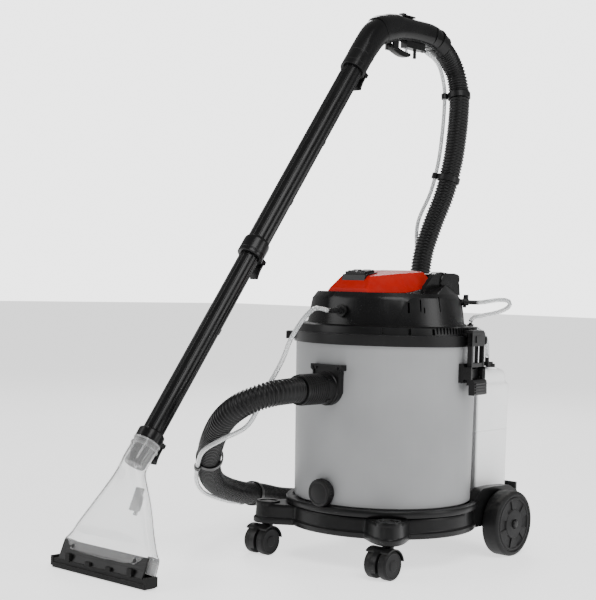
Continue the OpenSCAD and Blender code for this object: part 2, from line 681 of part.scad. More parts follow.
// Ears and pin bore of a lock lever on a collar of radius r.
module lock_ears(w, r) for (m = [-1, 1]) translate([m * 11 - 1.5, r - 4, w - 4]) cube([3, 11, 8]);
module lock_bore(w, r) translate([0, r + 3.5, w]) along_x(1.55, 60, 32);

module lock_lever(w, r) color(dark) wand_frame(w) translate([0, r + 3.5, 0]) {
    along_x(1.5, 25, 32);
    along_x(3, 18.6, 32);
    translate([-9.3, 0, -26]) cube([18.6, 3.5, 27]);
    translate([-11, 1, -32]) cube([22, 4.5, 8]);
}
low_w = 10;
mid_w = collar_mid + 8;
top_w = collar_top + 14;
module lock_lever_low() lock_lever(low_w, tube_r_low + 5);
module lock_lever_mid() lock_lever(mid_w, tube_r_up + 3.5);
module lock_lever_top() lock_lever(top_w, tube_r_up + 4);

// Handle outline as seen from the machine's right: distance back, height.
grip_z = 1000;
grip_line = [[108, 974], [112, 1003], [128, 1018], [152, 1030], [180, 1042], [212, 1048], [330, 1048],
    [360, 1050], [376, 1044], [352, 992], [334, 994], [322, 1000], [254, 1000], [232, 990], [206, 986],
    [192, 974], [168, 964], [144, 948]];
grip_core = [[116, 972], [119, 1000], [132, 1012], [155, 1024], [182, 1036], [214, 1042], [330, 1042],
    [358, 1043], [366, 1038], [350, 1002], [338, 1004], [324, 1006], [252, 1006], [229, 996], [203, 992],
    [188, 980], [165, 970], [146, 957]];
grip_w = 23;
trigger_y = 218;
trigger_z = 981;
plunger_y = 266;

// Frame at the handle's rear mouth: z points out of it, along the hose.
module handle_end() translate([wand_x, 364, 1018]) rotate([-115, 0, 0]) children();

// A flat outline given as [y, z], extruded along X from x0.
module side_plate(outline, x0, w) translate([wand_x + x0, 0, 0]) rotate([90, 0, 90])
    linear_extrude(height = w) polygon(outline);

module handle_shell(s) color(black) difference() {
    union() {
        side_plate(grip_line, s > 0 ? 0 : -grip_w, grip_w);
        intersection() {
            wand_frame(collar_top) cylinder(r = tube_r_up + 4, h = 62, $fn = 64);
            translate([wand_x + (s > 0 ? 0 : -60), 0, 800]) cube([60, 300, 300]);
        }
        for (m = [-1, 1]) if (m == s) translate([wand_x + m * 9 - 2, trigger_y - 6, trigger_z - 5]) cube([4, 12, 14]);
        if (s > 0) wand_frame(top_w) translate([0, 0, -top_w]) {
            translate([9.5, tube_r_up, top_w - 4]) cube([3, 11, 8]);
        } else wand_frame(top_w) translate([0, 0, -top_w]) {
            translate([-12.5, tube_r_up, top_w - 4]) cube([3, 11, 8]);
        }
    }
    side_plate(grip_core, s > 0 ? -1 : -grip_w + 3, grip_w - 2);
    wand_frame(collar_top - 1) cylinder(r = tube_r_up + 0.05, h = 51, $fn = 64);
    wand_frame(collar_top + 30) cylinder(r = tube_r_low - 1, h = 50, $fn = 64);
    wand_frame() lock_bore(top_w, tube_r_up + 4);
    handle_end() translate([0, 0, -30]) cylinder(r = 18, h = 40, $fn = 48);
    translate([wand_x, trigger_y, trigger_z]) along_x(2.05, 60, 32);
    translate([wand_x - 5, plunger_y - 6, grip_z - 1]) cube([10, 12, 20]);
    translate([wand_x - 8.2, trigger_y - 14, trigger_z - 20]) cube([16.4, 44, 40]);
}
module handle_shell_left() handle_shell(-1);
module handle_shell_right() handle_shell(1);

// The trigger hangs from a pin under the grip and curls back below it.
trigger_line = [[210, 986], [225, 987], [232, 981], [262, 975.5], [272, 976], [275, 971], [262, 966],
    [240, 966], [222, 971], [211, 976]];
module trigger() color(black) difference() {
    union() {
        side_plate(trigger_line, -7, 14);
        translate([wand_x, trigger_y, trigger_z]) along_x(2, 21, 32);
    }
    translate([wand_x, 250, 961]) along_x(1, 30, 16);
}

module valve_body() color(dark) difference() {
    union() {
        translate([wand_x - 9, 258, 986]) cube([18, 62, 14]);
        translate([wand_x, 295, 968]) cylinder(r = 3.5, h = 19, $fn = 32);
        translate([wand_x, 319, 983 + 6]) rotate([-90, 0, 0]) cylinder(r = 5, h = 5, $fn = 32);
        translate([wand_x, 323, 983 + 6]) rotate([-90, 0, 0]) cylinder(r = 3.5, h = 8, $fn = 32);
    }
    translate([wand_x, plunger_y, 980]) cylinder(r = 3.05, h = 30, $fn = 32);
    translate([wand_x, plunger_y, 980]) cylinder(r = 4.3, h = 7.8, $fn = 32);
    translate([wand_x, 295, 960]) cylinder(r = 2, h = 20, $fn = 32);
}

module valve_plunger() color(steel) translate([wand_x, plunger_y, 976.6]) {
    cylinder(r = 3, h = 18, $fn = 32);
    cylinder(r = 4, h = 2, $fn = 32);
}

slide_y = 240;
module air_slide() color(dark) translate([wand_x, slide_y, 1048.1]) difference() {
    union() {
        translate([-12, 0, 0]) cube([24, 40, 3]);
        translate([-6, 6, 2]) cube([12, 10, 5]);
        for (i = [0 : 4]) translate([-10, 20 + 4 * i, 2.5]) cube([20, 1.6, 1.5]);
    }
    translate([-3, 8.5, 5]) cube([6, 5, 4]);
}

// ---- Cords and what is on them ----
module suction_hose() color(black) swept_tube(hose_route, hose_r - 0.3, 12);
module solution_tube() color(clear_grey) swept_tube(line_route, line_r - 0.1, 8);
module tank_tube() color(clear_grey) swept_tube(loop_route, line_r - 0.1, 8);
module feed_tube() color(clear_grey) swept_tube(feed_route, line_r - 0.1, 8);

// A clip halfway between two stations of the hose, with an eye for the clear tube.
module hose_clip(i, j) {
    a = (hose_route[i] + hose_route[i + 1]) / 2;
    d = unit(hose_route[i + 1] - hose_route[i]);
    e = (line_route[j] + line_route[j + 1]) / 2 - a;
    side = unit(e - d * (e * d));
    up = cross(d, side);
    m = [[side[0], up[0], d[0], a[0]], [side[1], up[1], d[1], a[1]], [side[2], up[2], d[2], a[2]]];
    multmatrix(m) difference() {
        union() {
            translate([0, 0, -6]) cylinder(r = hose_r + 3, h = 12, $fn = 48);
            translate([side * e, 0, -6]) cylinder(r = line_r + 2.5, h = 12, $fn = 32);
        }
        translate([0, 0, -8]) cylinder(r = hose_r + 0.2, h = 16, $fn = 48);
        translate([side * e, 0, -8]) cylinder(r = line_r + 0.3, h = 16, $fn = 32);
    }
}
module hose_clips() color(black) {
    hose_clip(7, 13);
    hose_clip(11, 17);
    hose_clip(25, 31);
    hose_clip(28, 34);
}

chassis_ring();
rear_axle();
rear_wheel_left();
rear_wheel_right();
caster_hood_left();
caster_hood_right();
caster_axle_left();
caster_axle_right();
caster_wheels_left();
caster_wheels_right();
drum();
rim_band();
drain_spout();
drain_cap();
inlet_plate();
cover_screws();
latch_bases();
latch_lever_left();
latch_lever_right();
latch_bail_left();
latch_bail_right();
head_skirt();
head_gasket();
head_body();
top_cover();
switch_box();
rocker_vacuum();
rocker_pump();
carry_handle();
motor_housing();
motor_rotor();
pump_body();
pump_barb();
float_cage();
float_cup();
line_fittings();
tank_fitting();
clean_tank();
tank_cap();
nozzle_body();
nozzle_holder();
nozzle_lip();
spray_tip();
wand_lower();
wand_upper();
lock_lever_low();
lock_lever_mid();
lock_lever_top();
handle_shell_left();
handle_shell_right();
trigger();
valve_body();
valve_plunger();
air_slide();
hose_cuffs();
suction_hose();
solution_tube();
tank_tube();
feed_tube();
hose_clips();
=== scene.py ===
# Looks of a spray-extraction carpet cleaner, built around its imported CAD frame. Metres, floor at z = 0.
import json
import math

import bmesh
import bpy
from mathutils import Matrix, Vector

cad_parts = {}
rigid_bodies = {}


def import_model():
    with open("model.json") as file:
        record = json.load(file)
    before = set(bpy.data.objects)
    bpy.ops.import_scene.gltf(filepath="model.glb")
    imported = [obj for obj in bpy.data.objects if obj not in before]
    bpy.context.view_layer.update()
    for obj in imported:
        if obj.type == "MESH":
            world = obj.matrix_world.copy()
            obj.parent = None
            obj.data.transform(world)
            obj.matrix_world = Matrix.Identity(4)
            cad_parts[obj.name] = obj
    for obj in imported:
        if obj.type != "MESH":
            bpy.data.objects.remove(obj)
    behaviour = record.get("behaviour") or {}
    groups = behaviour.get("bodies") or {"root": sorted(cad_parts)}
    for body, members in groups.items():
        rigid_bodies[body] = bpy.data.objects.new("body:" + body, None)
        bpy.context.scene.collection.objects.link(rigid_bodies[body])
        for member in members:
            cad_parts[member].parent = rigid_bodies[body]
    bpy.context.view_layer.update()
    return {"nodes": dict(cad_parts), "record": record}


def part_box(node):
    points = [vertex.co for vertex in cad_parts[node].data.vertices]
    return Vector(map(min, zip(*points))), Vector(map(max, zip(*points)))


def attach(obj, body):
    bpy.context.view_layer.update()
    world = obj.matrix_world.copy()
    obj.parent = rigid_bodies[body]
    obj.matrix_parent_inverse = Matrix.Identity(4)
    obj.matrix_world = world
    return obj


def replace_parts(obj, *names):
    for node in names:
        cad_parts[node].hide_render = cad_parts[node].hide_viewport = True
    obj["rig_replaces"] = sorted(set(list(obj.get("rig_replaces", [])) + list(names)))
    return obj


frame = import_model()
cadNodes = frame["nodes"]
bodyOf = {n: b for b, group in frame["record"]["behaviour"]["bodies"].items() for n in group}
print("frame loaded:", len(cadNodes), "nodes")

# Camera and stage.
viewpoint = {"place": (1.502414, -1.931631, 0.492229), "right": (0.74594, 0.665472, 0.026832),
             "up": (-0.028294, -0.008587, 0.999563), "lens": 80.13, "sensor": 36.0}


def makeCamera(spec):
    right, up = Vector(spec["right"]), Vector(spec["up"])
    data = bpy.data.cameras.new("camera")
    data.sensor_fit = "HORIZONTAL"
    data.sensor_width = spec["sensor"]
    data.lens = spec["lens"]
    data.clip_start, data.clip_end = 0.05, 50
    camera = bpy.data.objects.new("camera", data)
    bpy.context.scene.collection.objects.link(camera)
    turn = Matrix((right, up, right.cross(up))).transposed().to_4x4()
    camera.matrix_world = Matrix.Translation(spec["place"]) @ turn
    bpy.context.scene.camera = camera


makeCamera(viewpoint)


# Mesh helpers.
def linked(name, mesh):
    obj = bpy.data.objects.new(name, mesh)
    bpy.context.scene.collection.objects.link(obj)
    return obj


def meshObject(name, verts, faces):
    mesh = bpy.data.meshes.new(name)
    mesh.from_pydata([tuple(v) for v in verts], [], faces)
    mesh.update()
    return linked(name, mesh)


# Freezes an object's modifiers into a plain mesh of the same name.
def frozen(obj):
    name = obj.name
    graph = bpy.context.evaluated_depsgraph_get()
    mesh = bpy.data.meshes.new_from_object(obj.evaluated_get(graph))
    old = obj.data
    bpy.data.objects.remove(obj)
    if old.users == 0 and isinstance(old, bpy.types.Mesh):
        bpy.data.meshes.remove(old)
    mesh.name = name
    return linked(name, mesh)


# Rounds the edges sharper than an angle and evens out the shading.
def rounded(obj, width, segments=2, angle=38):
    for face in obj.data.polygons:
        face.use_smooth = True
    if width:
        bevel = obj.modifiers.new("edges", "BEVEL")
        bevel.width = width
        bevel.segments = segments
        bevel.limit_method = "ANGLE"
        bevel.angle_limit = math.radians(angle)
        bevel.miter_outer = "MITER_ARC"
    shade = obj.modifiers.new("shading", "WEIGHTED_NORMAL")
    shade.keep_sharp = True
    obj = frozen(obj)
    return obj


# One object out of several.
def joined(name, parts):
    bm = bmesh.new()
    for part in parts:
        bm.from_mesh(part.data)
        mesh = part.data
        bpy.data.objects.remove(part)
        bpy.data.meshes.remove(mesh)
    mesh = bpy.data.meshes.new(name)
    bm.to_mesh(mesh)
    bm.free()
    return linked(name, mesh)


# Cuts tools out of an object, or adds them to it.
def carved(obj, tools, operation="DIFFERENCE"):
    for tool in tools:
        cut = obj.modifiers.new("cut", "BOOLEAN")
        cut.operation = operation
        cut.solver = "MANIFOLD"
        cut.object = tool
    obj = frozen(obj)
    for tool in tools:
        mesh = tool.data
        bpy.data.objects.remove(tool)
        bpy.data.meshes.remove(mesh)
    return obj


# Gives a finished piece its material, its body and the nodes that it stands for.
def settled(obj, material, nodes):
    obj.data.materials.clear()
    obj.data.materials.append(material)
    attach(obj, bodyOf[nodes[0]])
    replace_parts(obj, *nodes)
    return obj


# A welded copy of a CAD node, its flat faces merged.
def welded(name, node):
    bm = bmesh.new()
    bm.from_mesh(cadNodes[node].data)
    bmesh.ops.remove_doubles(bm, verts=bm.verts[:], dist=2e-6)
    bmesh.ops.dissolve_limit(bm, angle_limit=math.radians(0.6), verts=bm.verts[:], edges=bm.edges[:])
    mesh = bpy.data.meshes.new(name)
    bm.to_mesh(mesh)
    bm.free()
    return linked(name, mesh)


# Turns a profile of (radius, height) round the z axis; a closed profile gives a closed shell.
def turned(name, profile, steps=96, place=None, closedLoop=False):
    verts, faces, rows = [], [], []
    for radius, height in profile:
        if radius < 1e-7:
            rows.append([len(verts)] * steps)
            verts.append(Vector((0, 0, height)))
        else:
            rows.append(list(range(len(verts), len(verts) + steps)))
            verts += [Vector((radius * math.cos(2 * math.pi * i / steps),
                              radius * math.sin(2 * math.pi * i / steps), height)) for i in range(steps)]
    pairs = list(zip(rows, rows[1:])) + ([(rows[-1], rows[0])] if closedLoop else [])
    for low, high in pairs:
        for i in range(steps):
            j = (i + 1) % steps
            corners = [low[i], low[j], high[j], high[i]]
            unique = [c for k, c in enumerate(corners) if c not in corners[:k]]
            if len(unique) > 2:
                faces.append(unique)
    if place is not None:
        verts = [place @ v for v in verts]
    return facedOut(meshObject(name, verts, faces))


def facedOut(obj):
    bm = bmesh.new()
    bm.from_mesh(obj.data)
    bmesh.ops.remove_doubles(bm, verts=bm.verts[:], dist=1e-7)
    bmesh.ops.recalc_face_normals(bm, faces=bm.faces[:])
    bm.to_mesh(obj.data)
    bm.free()
    return obj


# A solid box between two corners.
def boxed(name, low, high, place=None):
    corners = [Vector((high[0] if i & 1 else low[0], high[1] if i & 2 else low[1], high[2] if i & 4 else low[2]))
               for i in range(8)]
    if place is not None:
        corners = [place @ c for c in corners]
    faces = [(0, 2, 3, 1), (4, 5, 7, 6), (0, 1, 5, 4), (2, 6, 7, 3), (0, 4, 6, 2), (1, 3, 7, 5)]
    return facedOut(meshObject(name, corners, faces))


# A round bar between two points.
def rod(name, start, end, radius, steps=32):
    start, end = Vector(start), Vector(end)
    turn = (end - start).to_track_quat("Z", "Y").to_matrix().to_4x4()
    return turned(name, [(0, 0), (radius, 0), (radius, (end - start).length), (0, (end - start).length)],
                  steps, Matrix.Translation(start) @ turn)


# Rings of the same number of points joined into a closed skin.
def lofted(name, rings, place=None):
    n = len(rings[0])
    verts = [Vector(p) for ring in rings for p in ring]
    if place is not None:
        verts = [place @ v for v in verts]
    faces = [(a * n + i, a * n + (i + 1) % n, (a + 1) * n + (i + 1) % n, (a + 1) * n + i)
             for a in range(len(rings) - 1) for i in range(n)]
    faces += [tuple(range(n)), tuple(range((len(rings) - 1) * n, len(rings) * n))]
    return facedOut(meshObject(name, verts, faces))


# An outline in the plane of two axes, given a thickness along the third.
def plated(name, outline, low, high, place=None, axis="x"):
    order = {"x": lambda a, b, t: (t, a, b), "y": lambda a, b, t: (a, t, b), "z": lambda a, b, t: (a, b, t)}[axis]
    return lofted(name, [[order(a, b, t) for a, b in outline] for t in (low, high)], place)


# A smooth line through points, sampled at even steps.
def smoothLine(points, step):
    pts = [Vector(p) for p in points]
    ends = [2 * pts[0] - pts[1], *pts, 2 * pts[-1] - pts[-2]]
    fine = []
    for a, b, c, d in zip(ends, ends[1:], ends[2:], ends[3:]):
        for i in range(24):
            t = i / 24
            fine.append(0.5 * (2 * b + (c - a) * t + (2 * a - 5 * b + 4 * c - d) * t * t
                               + (3 * b - 3 * c + d - a) * t ** 3))
    fine.append(pts[-1])
    length = sum((q - p).length for p, q in zip(fine, fine[1:]))
    count = max(2, round(length / step))
    out, walked, i = [fine[0]], 0.0, 0
    for k in range(1, count):
        goal = length * k / count
        while walked + (fine[i + 1] - fine[i]).length < goal:
            walked += (fine[i + 1] - fine[i]).length
            i += 1
        part = (fine[i + 1] - fine[i])
        out.append(fine[i] + part * ((goal - walked) / part.length))
    return out + [fine[-1]], length


# A hollow tube along a line, its end rings closed.
def hollowTube(name, line, outer, inner, sides=16):
    tangents = [(line[min(i + 1, len(line) - 1)] - line[max(i - 1, 0)]).normalized() for i in range(len(line))]
    side = tangents[0].orthogonal().normalized()
    rings = []
    for point, tangent in zip(line, tangents):
        side = (side - tangent * side.dot(tangent)).normalized()
        other = tangent.cross(side)
        rings.append([(math.cos(2 * math.pi * k / sides) * side + math.sin(2 * math.pi * k / sides) * other, point)
                      for k in range(sides)])
    verts = [p + outer * d for ring in rings for d, p in ring] + [p + inner * d for ring in rings for d, p in ring]
    m = len(rings) * sides
    faces = []
    for a in range(len(rings) - 1):
        for i in range(sides):
            j = (i + 1) % sides
            quad = (a * sides + i, a * sides + j, (a + 1) * sides + j, (a + 1) * sides + i)
            faces.append(quad)
            faces.append(tuple(m + v for v in reversed(quad)))
    for base in (0, (len(rings) - 1) * sides):
        for i in range(sides):
            j = (i + 1) % sides
            faces.append((base + i, base + j, m + base + j, m + base + i))
    obj = facedOut(meshObject(name, verts, faces))
    for face in obj.data.polygons:
        face.use_smooth = True
    return obj


# Geometry node helpers.
def newTree(name, sockets):
    tree = bpy.data.node_groups.new(name, "GeometryNodeTree")
    tree.interface.new_socket("Geometry", in_out="INPUT", socket_type="NodeSocketGeometry")
    for label, kind, value in sockets:
        socket = tree.interface.new_socket(label, in_out="INPUT", socket_type=kind)
        if value is not None:
            socket.default_value = value
    tree.interface.new_socket("Geometry", in_out="OUTPUT", socket_type="NodeSocketGeometry")
    return tree, tree.nodes.new("NodeGroupInput"), tree.nodes.new("NodeGroupOutput")


# A node with its plain values set and its links made; a tuple of node and socket name is a link.
def wired(tree, kind, settings=None, **inputs):
    node = tree.nodes.new(kind)
    for key, value in (settings or {}).items():
        setattr(node, key, value)
    for key, value in inputs.items():
        socket = node.inputs[int(key[1:])] if key[0] == "i" and key[1:].isdigit() else node.inputs[key.replace("_",
                                                                                                               " ")]
        if isinstance(value, tuple) and hasattr(value[0], "outputs"):
            tree.links.new(value[0].outputs[value[1]], socket)
        else:
            socket.default_value = value
    return node


def maths(tree, operation, a, b=0.0, clamp=False):
    node = wired(tree, "ShaderNodeMath", {"operation": operation, "use_clamp": clamp}, i0=a, i1=b)
    return node, 0


# Realises a tree's result, gives it its material and ends the tree.
def endTree(tree, given, out, last):
    real = wired(tree, "GeometryNodeRealizeInstances", Geometry=last)
    paint = wired(tree, "GeometryNodeSetMaterial", Geometry=(real, "Geometry"), Material=(given, "Material"))
    tree.links.new(paint.outputs[0], out.inputs[0])
    return tree


# Runs a tree on a source mesh and keeps the result as a plain mesh.
def grown(name, source, tree, **values):
    source.name = name
    mod = source.modifiers.new(tree.name, "NODES")
    mod.node_group = tree
    keys = {i.name: i.identifier for i in tree.interface.items_tree if i.in_out == "INPUT"}
    for label, value in values.items():
        mod[keys[label.replace("_", " ")]] = value
    return frozen(source)


def pathMesh(name, line):
    mesh = bpy.data.meshes.new(name)
    mesh.from_pydata([tuple(p) for p in line], [(i, i + 1) for i in range(len(line) - 1)], [])
    return linked(name, mesh)


# A tube along a path whose radius swells and narrows in even ribs.
def ribbedTubeTree():
    tree, given, out = newTree("ribbedTube", [
        ("Radius", "NodeSocketFloat", 0.022), ("Rib Depth", "NodeSocketFloat", 0.002),
        ("Rib Pitch", "NodeSocketFloat", 0.0065), ("Sides", "NodeSocketInt", 24),
        ("Steps Per Rib", "NodeSocketInt", 8), ("Material", "NodeSocketMaterial", None)])
    line = wired(tree, "GeometryNodeMeshToCurve", Mesh=(given, "Geometry"))
    step = maths(tree, "DIVIDE", (given, "Rib Pitch"), (given, "Steps Per Rib"))
    even = wired(tree, "GeometryNodeResampleCurve", {"mode": "LENGTH"}, Curve=(line, "Curve"), Length=step)
    along = tree.nodes.new("GeometryNodeSplineParameter")
    turns = maths(tree, "DIVIDE", (along, "Length"), (given, "Rib Pitch"))
    wave = maths(tree, "SINE", maths(tree, "MULTIPLY", turns, 2 * math.pi))
    flat = maths(tree, "MULTIPLY", wave, 0.95)
    high = maths(tree, "ADD", flat, 0.5, clamp=True)  # rounded crest, narrower valley
    share = maths(tree, "DIVIDE", (given, "Rib Depth"), (given, "Radius"))
    drop = maths(tree, "MULTIPLY", maths(tree, "SUBTRACT", 1.0, high), share)
    scale = maths(tree, "SUBTRACT", 1.0, drop)
    ring = wired(tree, "GeometryNodeCurvePrimitiveCircle", Resolution=(given, "Sides"), Radius=(given, "Radius"))
    skin = wired(tree, "GeometryNodeCurveToMesh", Curve=(even, "Curve"), Profile_Curve=(ring, "Curve"),
                 Scale=scale, Fill_Caps=True)
    smooth = wired(tree, "GeometryNodeSetShadeSmooth", Geometry=(skin, "Mesh"))
    return endTree(tree, given, out, (smooth, "Geometry"))


# Shader groups.
def newGroup(name, inputs, outputs):
    tree = bpy.data.node_groups.new(name, "ShaderNodeTree")
    for label, kind, value in inputs:
        socket = tree.interface.new_socket(label, in_out="INPUT", socket_type=kind)
        if value is not None:
            socket.default_value = value
    for label, kind in outputs:
        tree.interface.new_socket(label, in_out="OUTPUT", socket_type=kind)
    return tree, tree.nodes.new("NodeGroupInput"), tree.nodes.new("NodeGroupOutput")


def ranged(tree, value, low, high, start=0.0, end=1.0):
    node = wired(tree, "ShaderNodeMapRange", Value=value, From_Min=low, From_Max=high, To_Min=start, To_Max=end)
    return node, 0


# Fine moulded grain, and a broad unevenness of the skin.
def mouldGrainGroup():
    tree, given, out = newGroup("mouldGrain", [
        ("Vector", "NodeSocketVector", None), ("Grain Scale", "NodeSocketFloat", 1500),
        ("Patch Scale", "NodeSocketFloat", 18)], [("Height", "NodeSocketFloat"), ("Patch", "NodeSocketFloat")])
    fine = wired(tree, "ShaderNodeTexNoise", Vector=(given, "Vector"), Scale=(given, "Grain Scale"), Detail=2.0)
    cells = wired(tree, "ShaderNodeTexVoronoi", {"feature": "SMOOTH_F1"}, Vector=(given, "Vector"),
                  Scale=maths(tree, "MULTIPLY", (given, "Grain Scale"), 0.55))
    both = maths(tree, "ADD", maths(tree, "MULTIPLY", (fine, 0), 0.5), maths(tree, "MULTIPLY", (cells, 0), 0.6))
    broad = wired(tree, "ShaderNodeTexNoise", Vector=(given, "Vector"), Scale=(given, "Patch Scale"), Detail=3.0)
    tree.links.new(both[0].outputs[0], out.inputs["Height"])
    patch = ranged(tree, (broad, 0), 0.34, 0.66)
    tree.links.new(patch[0].outputs[0], out.inputs["Patch"])
    return tree


# Where edges turn: light wear, broken up by noise.
def edgeWearGroup():
    tree, given, out = newGroup("edgeWear", [
        ("Vector", "NodeSocketVector", None), ("Width", "NodeSocketFloat", 0.001),
        ("Amount", "NodeSocketFloat", 0.5)], [("Edge", "NodeSocketFloat")])
    soft = wired(tree, "ShaderNodeBevel", {"samples": 4}, Radius=(given, "Width"))
    true = tree.nodes.new("ShaderNodeNewGeometry")
    turn = wired(tree, "ShaderNodeVectorMath", {"operation": "DOT_PRODUCT"}, i0=(soft, "Normal"),
                 i1=(true, "Normal"))
    sharp = ranged(tree, maths(tree, "SUBTRACT", 1.0, (turn, "Value")), 0.01, 0.14)
    broken = wired(tree, "ShaderNodeTexNoise", Vector=(given, "Vector"), Scale=240.0, Detail=4.0)
    gaps = ranged(tree, (broken, 0), 0.38, 0.62)
    edge = maths(tree, "MULTIPLY", maths(tree, "MULTIPLY", sharp, gaps), (given, "Amount"), clamp=True)
    tree.links.new(edge[0].outputs[0], out.inputs["Edge"])
    return tree


# Fine dust that lies on what faces up.
def dustGroup():
    tree, given, out = newGroup("dustFall", [
        ("Vector", "NodeSocketVector", None), ("Scale", "NodeSocketFloat", 60),
        ("Amount", "NodeSocketFloat", 0.2)], [("Dust", "NodeSocketFloat")])
    face = tree.nodes.new("ShaderNodeNewGeometry")
    split = wired(tree, "ShaderNodeSeparateXYZ", Vector=(face, "Normal"))
    upward = ranged(tree, (split, "Z"), 0.35, 1.0)
    spots = wired(tree, "ShaderNodeTexNoise", Vector=(given, "Vector"), Scale=(given, "Scale"), Detail=6.0)
    lie = ranged(tree, (spots, 0), 0.42, 0.7)
    dust = maths(tree, "MULTIPLY", maths(tree, "MULTIPLY", upward, lie), (given, "Amount"), clamp=True)
    tree.links.new(dust[0].outputs[0], out.inputs["Dust"])
    return tree


# Hairline scuffs that run along one axis.
def scuffGroup():
    tree, given, out = newGroup("hairScuffs", [
        ("Vector", "NodeSocketVector", None), ("Stretch", "NodeSocketVector", (900, 900, 14)),
        ("Amount", "NodeSocketFloat", 0.3)], [("Scuff", "NodeSocketFloat")])
    long = wired(tree, "ShaderNodeVectorMath", {"operation": "MULTIPLY"}, i0=(given, "Vector"),
                 i1=(given, "Stretch"))
    lines = wired(tree, "ShaderNodeTexNoise", Vector=(long, 0), Scale=1.0, Detail=3.0)
    thin = ranged(tree, (lines, 0), 0.6, 0.72)
    patchy = wired(tree, "ShaderNodeTexNoise", Vector=(given, "Vector"), Scale=25.0)
    scuff = maths(tree, "MULTIPLY", maths(tree, "MULTIPLY", thin, ranged(tree, (patchy, 0), 0.45, 0.6)),
                  (given, "Amount"), clamp=True)
    tree.links.new(scuff[0].outputs[0], out.inputs["Scuff"])
    return tree


grainGroup, wearGroup = mouldGrainGroup(), edgeWearGroup()
dustFallGroup, hairScuffGroup = dustGroup(), scuffGroup()


def grouped(tree, group, **inputs):
    node = tree.nodes.new("ShaderNodeGroup")
    node.node_tree = group
    for key, value in inputs.items():
        socket = node.inputs[key.replace("_", " ")]
        if isinstance(value, tuple) and hasattr(value[0], "outputs"):
            tree.links.new(value[0].outputs[value[1]], socket)
        else:
            socket.default_value = value
    return node


def blended(tree, factor, first, second):
    mix = tree.nodes.new("ShaderNodeMix")
    mix.data_type = "RGBA"
    for socket, value in ((mix.inputs[0], factor), (mix.inputs[6], first), (mix.inputs[7], second)):
        if isinstance(value, tuple) and hasattr(value[0], "outputs"):
            tree.links.new(value[0].outputs[value[1]], socket)
        else:
            socket.default_value = value
    return mix, 2


# Materials.
def opaque(colour):
    return (*colour, 1.0)


# Any solid finish: two tones, grain, worn edges, scuffs and dust, with the fixed numbers on the shader.
def finishOf(name, look):
    material = bpy.data.materials.new(name)
    material.use_nodes = True
    tree = material.node_tree
    shader = tree.nodes["Principled BSDF"]
    here = (tree.nodes.new("ShaderNodeTexCoord"), "Object")
    grain = grouped(tree, grainGroup, Vector=here, Grain_Scale=look["grainScale"],
                    Patch_Scale=look.get("patch", 18))
    wear = grouped(tree, wearGroup, Vector=here, Width=look.get("wearWidth", 0.0009), Amount=look.get("wear", 0.4))
    dust = grouped(tree, dustFallGroup, Vector=here, Scale=look.get("dustScale", 70), Amount=look.get("dust", 0.12))
    scuff = grouped(tree, hairScuffGroup, Vector=here, Stretch=look.get("scuffWay", (900, 900, 14)),
                    Amount=look.get("scuff", 0.25))
    tone = blended(tree, (grain, "Patch"), opaque(look["colour"]), opaque(look["second"]))
    tone = blended(tree, (wear, "Edge"), tone, opaque(look["edge"]))
    tone = blended(tree, (scuff, "Scuff"), tone, opaque(look["edge"]))
    tone = blended(tree, (dust, "Dust"), tone, opaque(look.get("dustColour", (0.42, 0.4, 0.37))))
    tree.links.new(tone[0].outputs[tone[1]], shader.inputs["Base Color"])
    rough = ranged(tree, (grain, "Patch"), 0.0, 1.0, *look["rough"])
    rough = maths(tree, "ADD", rough, maths(tree, "MULTIPLY", (dust, "Dust"), 0.35))
    rough = maths(tree, "ADD", rough, maths(tree, "MULTIPLY", (scuff, "Scuff"), 0.2), clamp=True)
    tree.links.new(rough[0].outputs[0], shader.inputs["Roughness"])
    bump = wired(tree, "ShaderNodeBump", Strength=look.get("bump", 0.25), Distance=look.get("depth", 0.0002),
                 Height=(grain, "Height"))
    tree.links.new(bump.outputs[0], shader.inputs["Normal"])
    for socket, value in look.get("shader", {}).items():
        shader.inputs[socket].default_value = value
    material.diffuse_color = opaque(look["colour"])
    return material


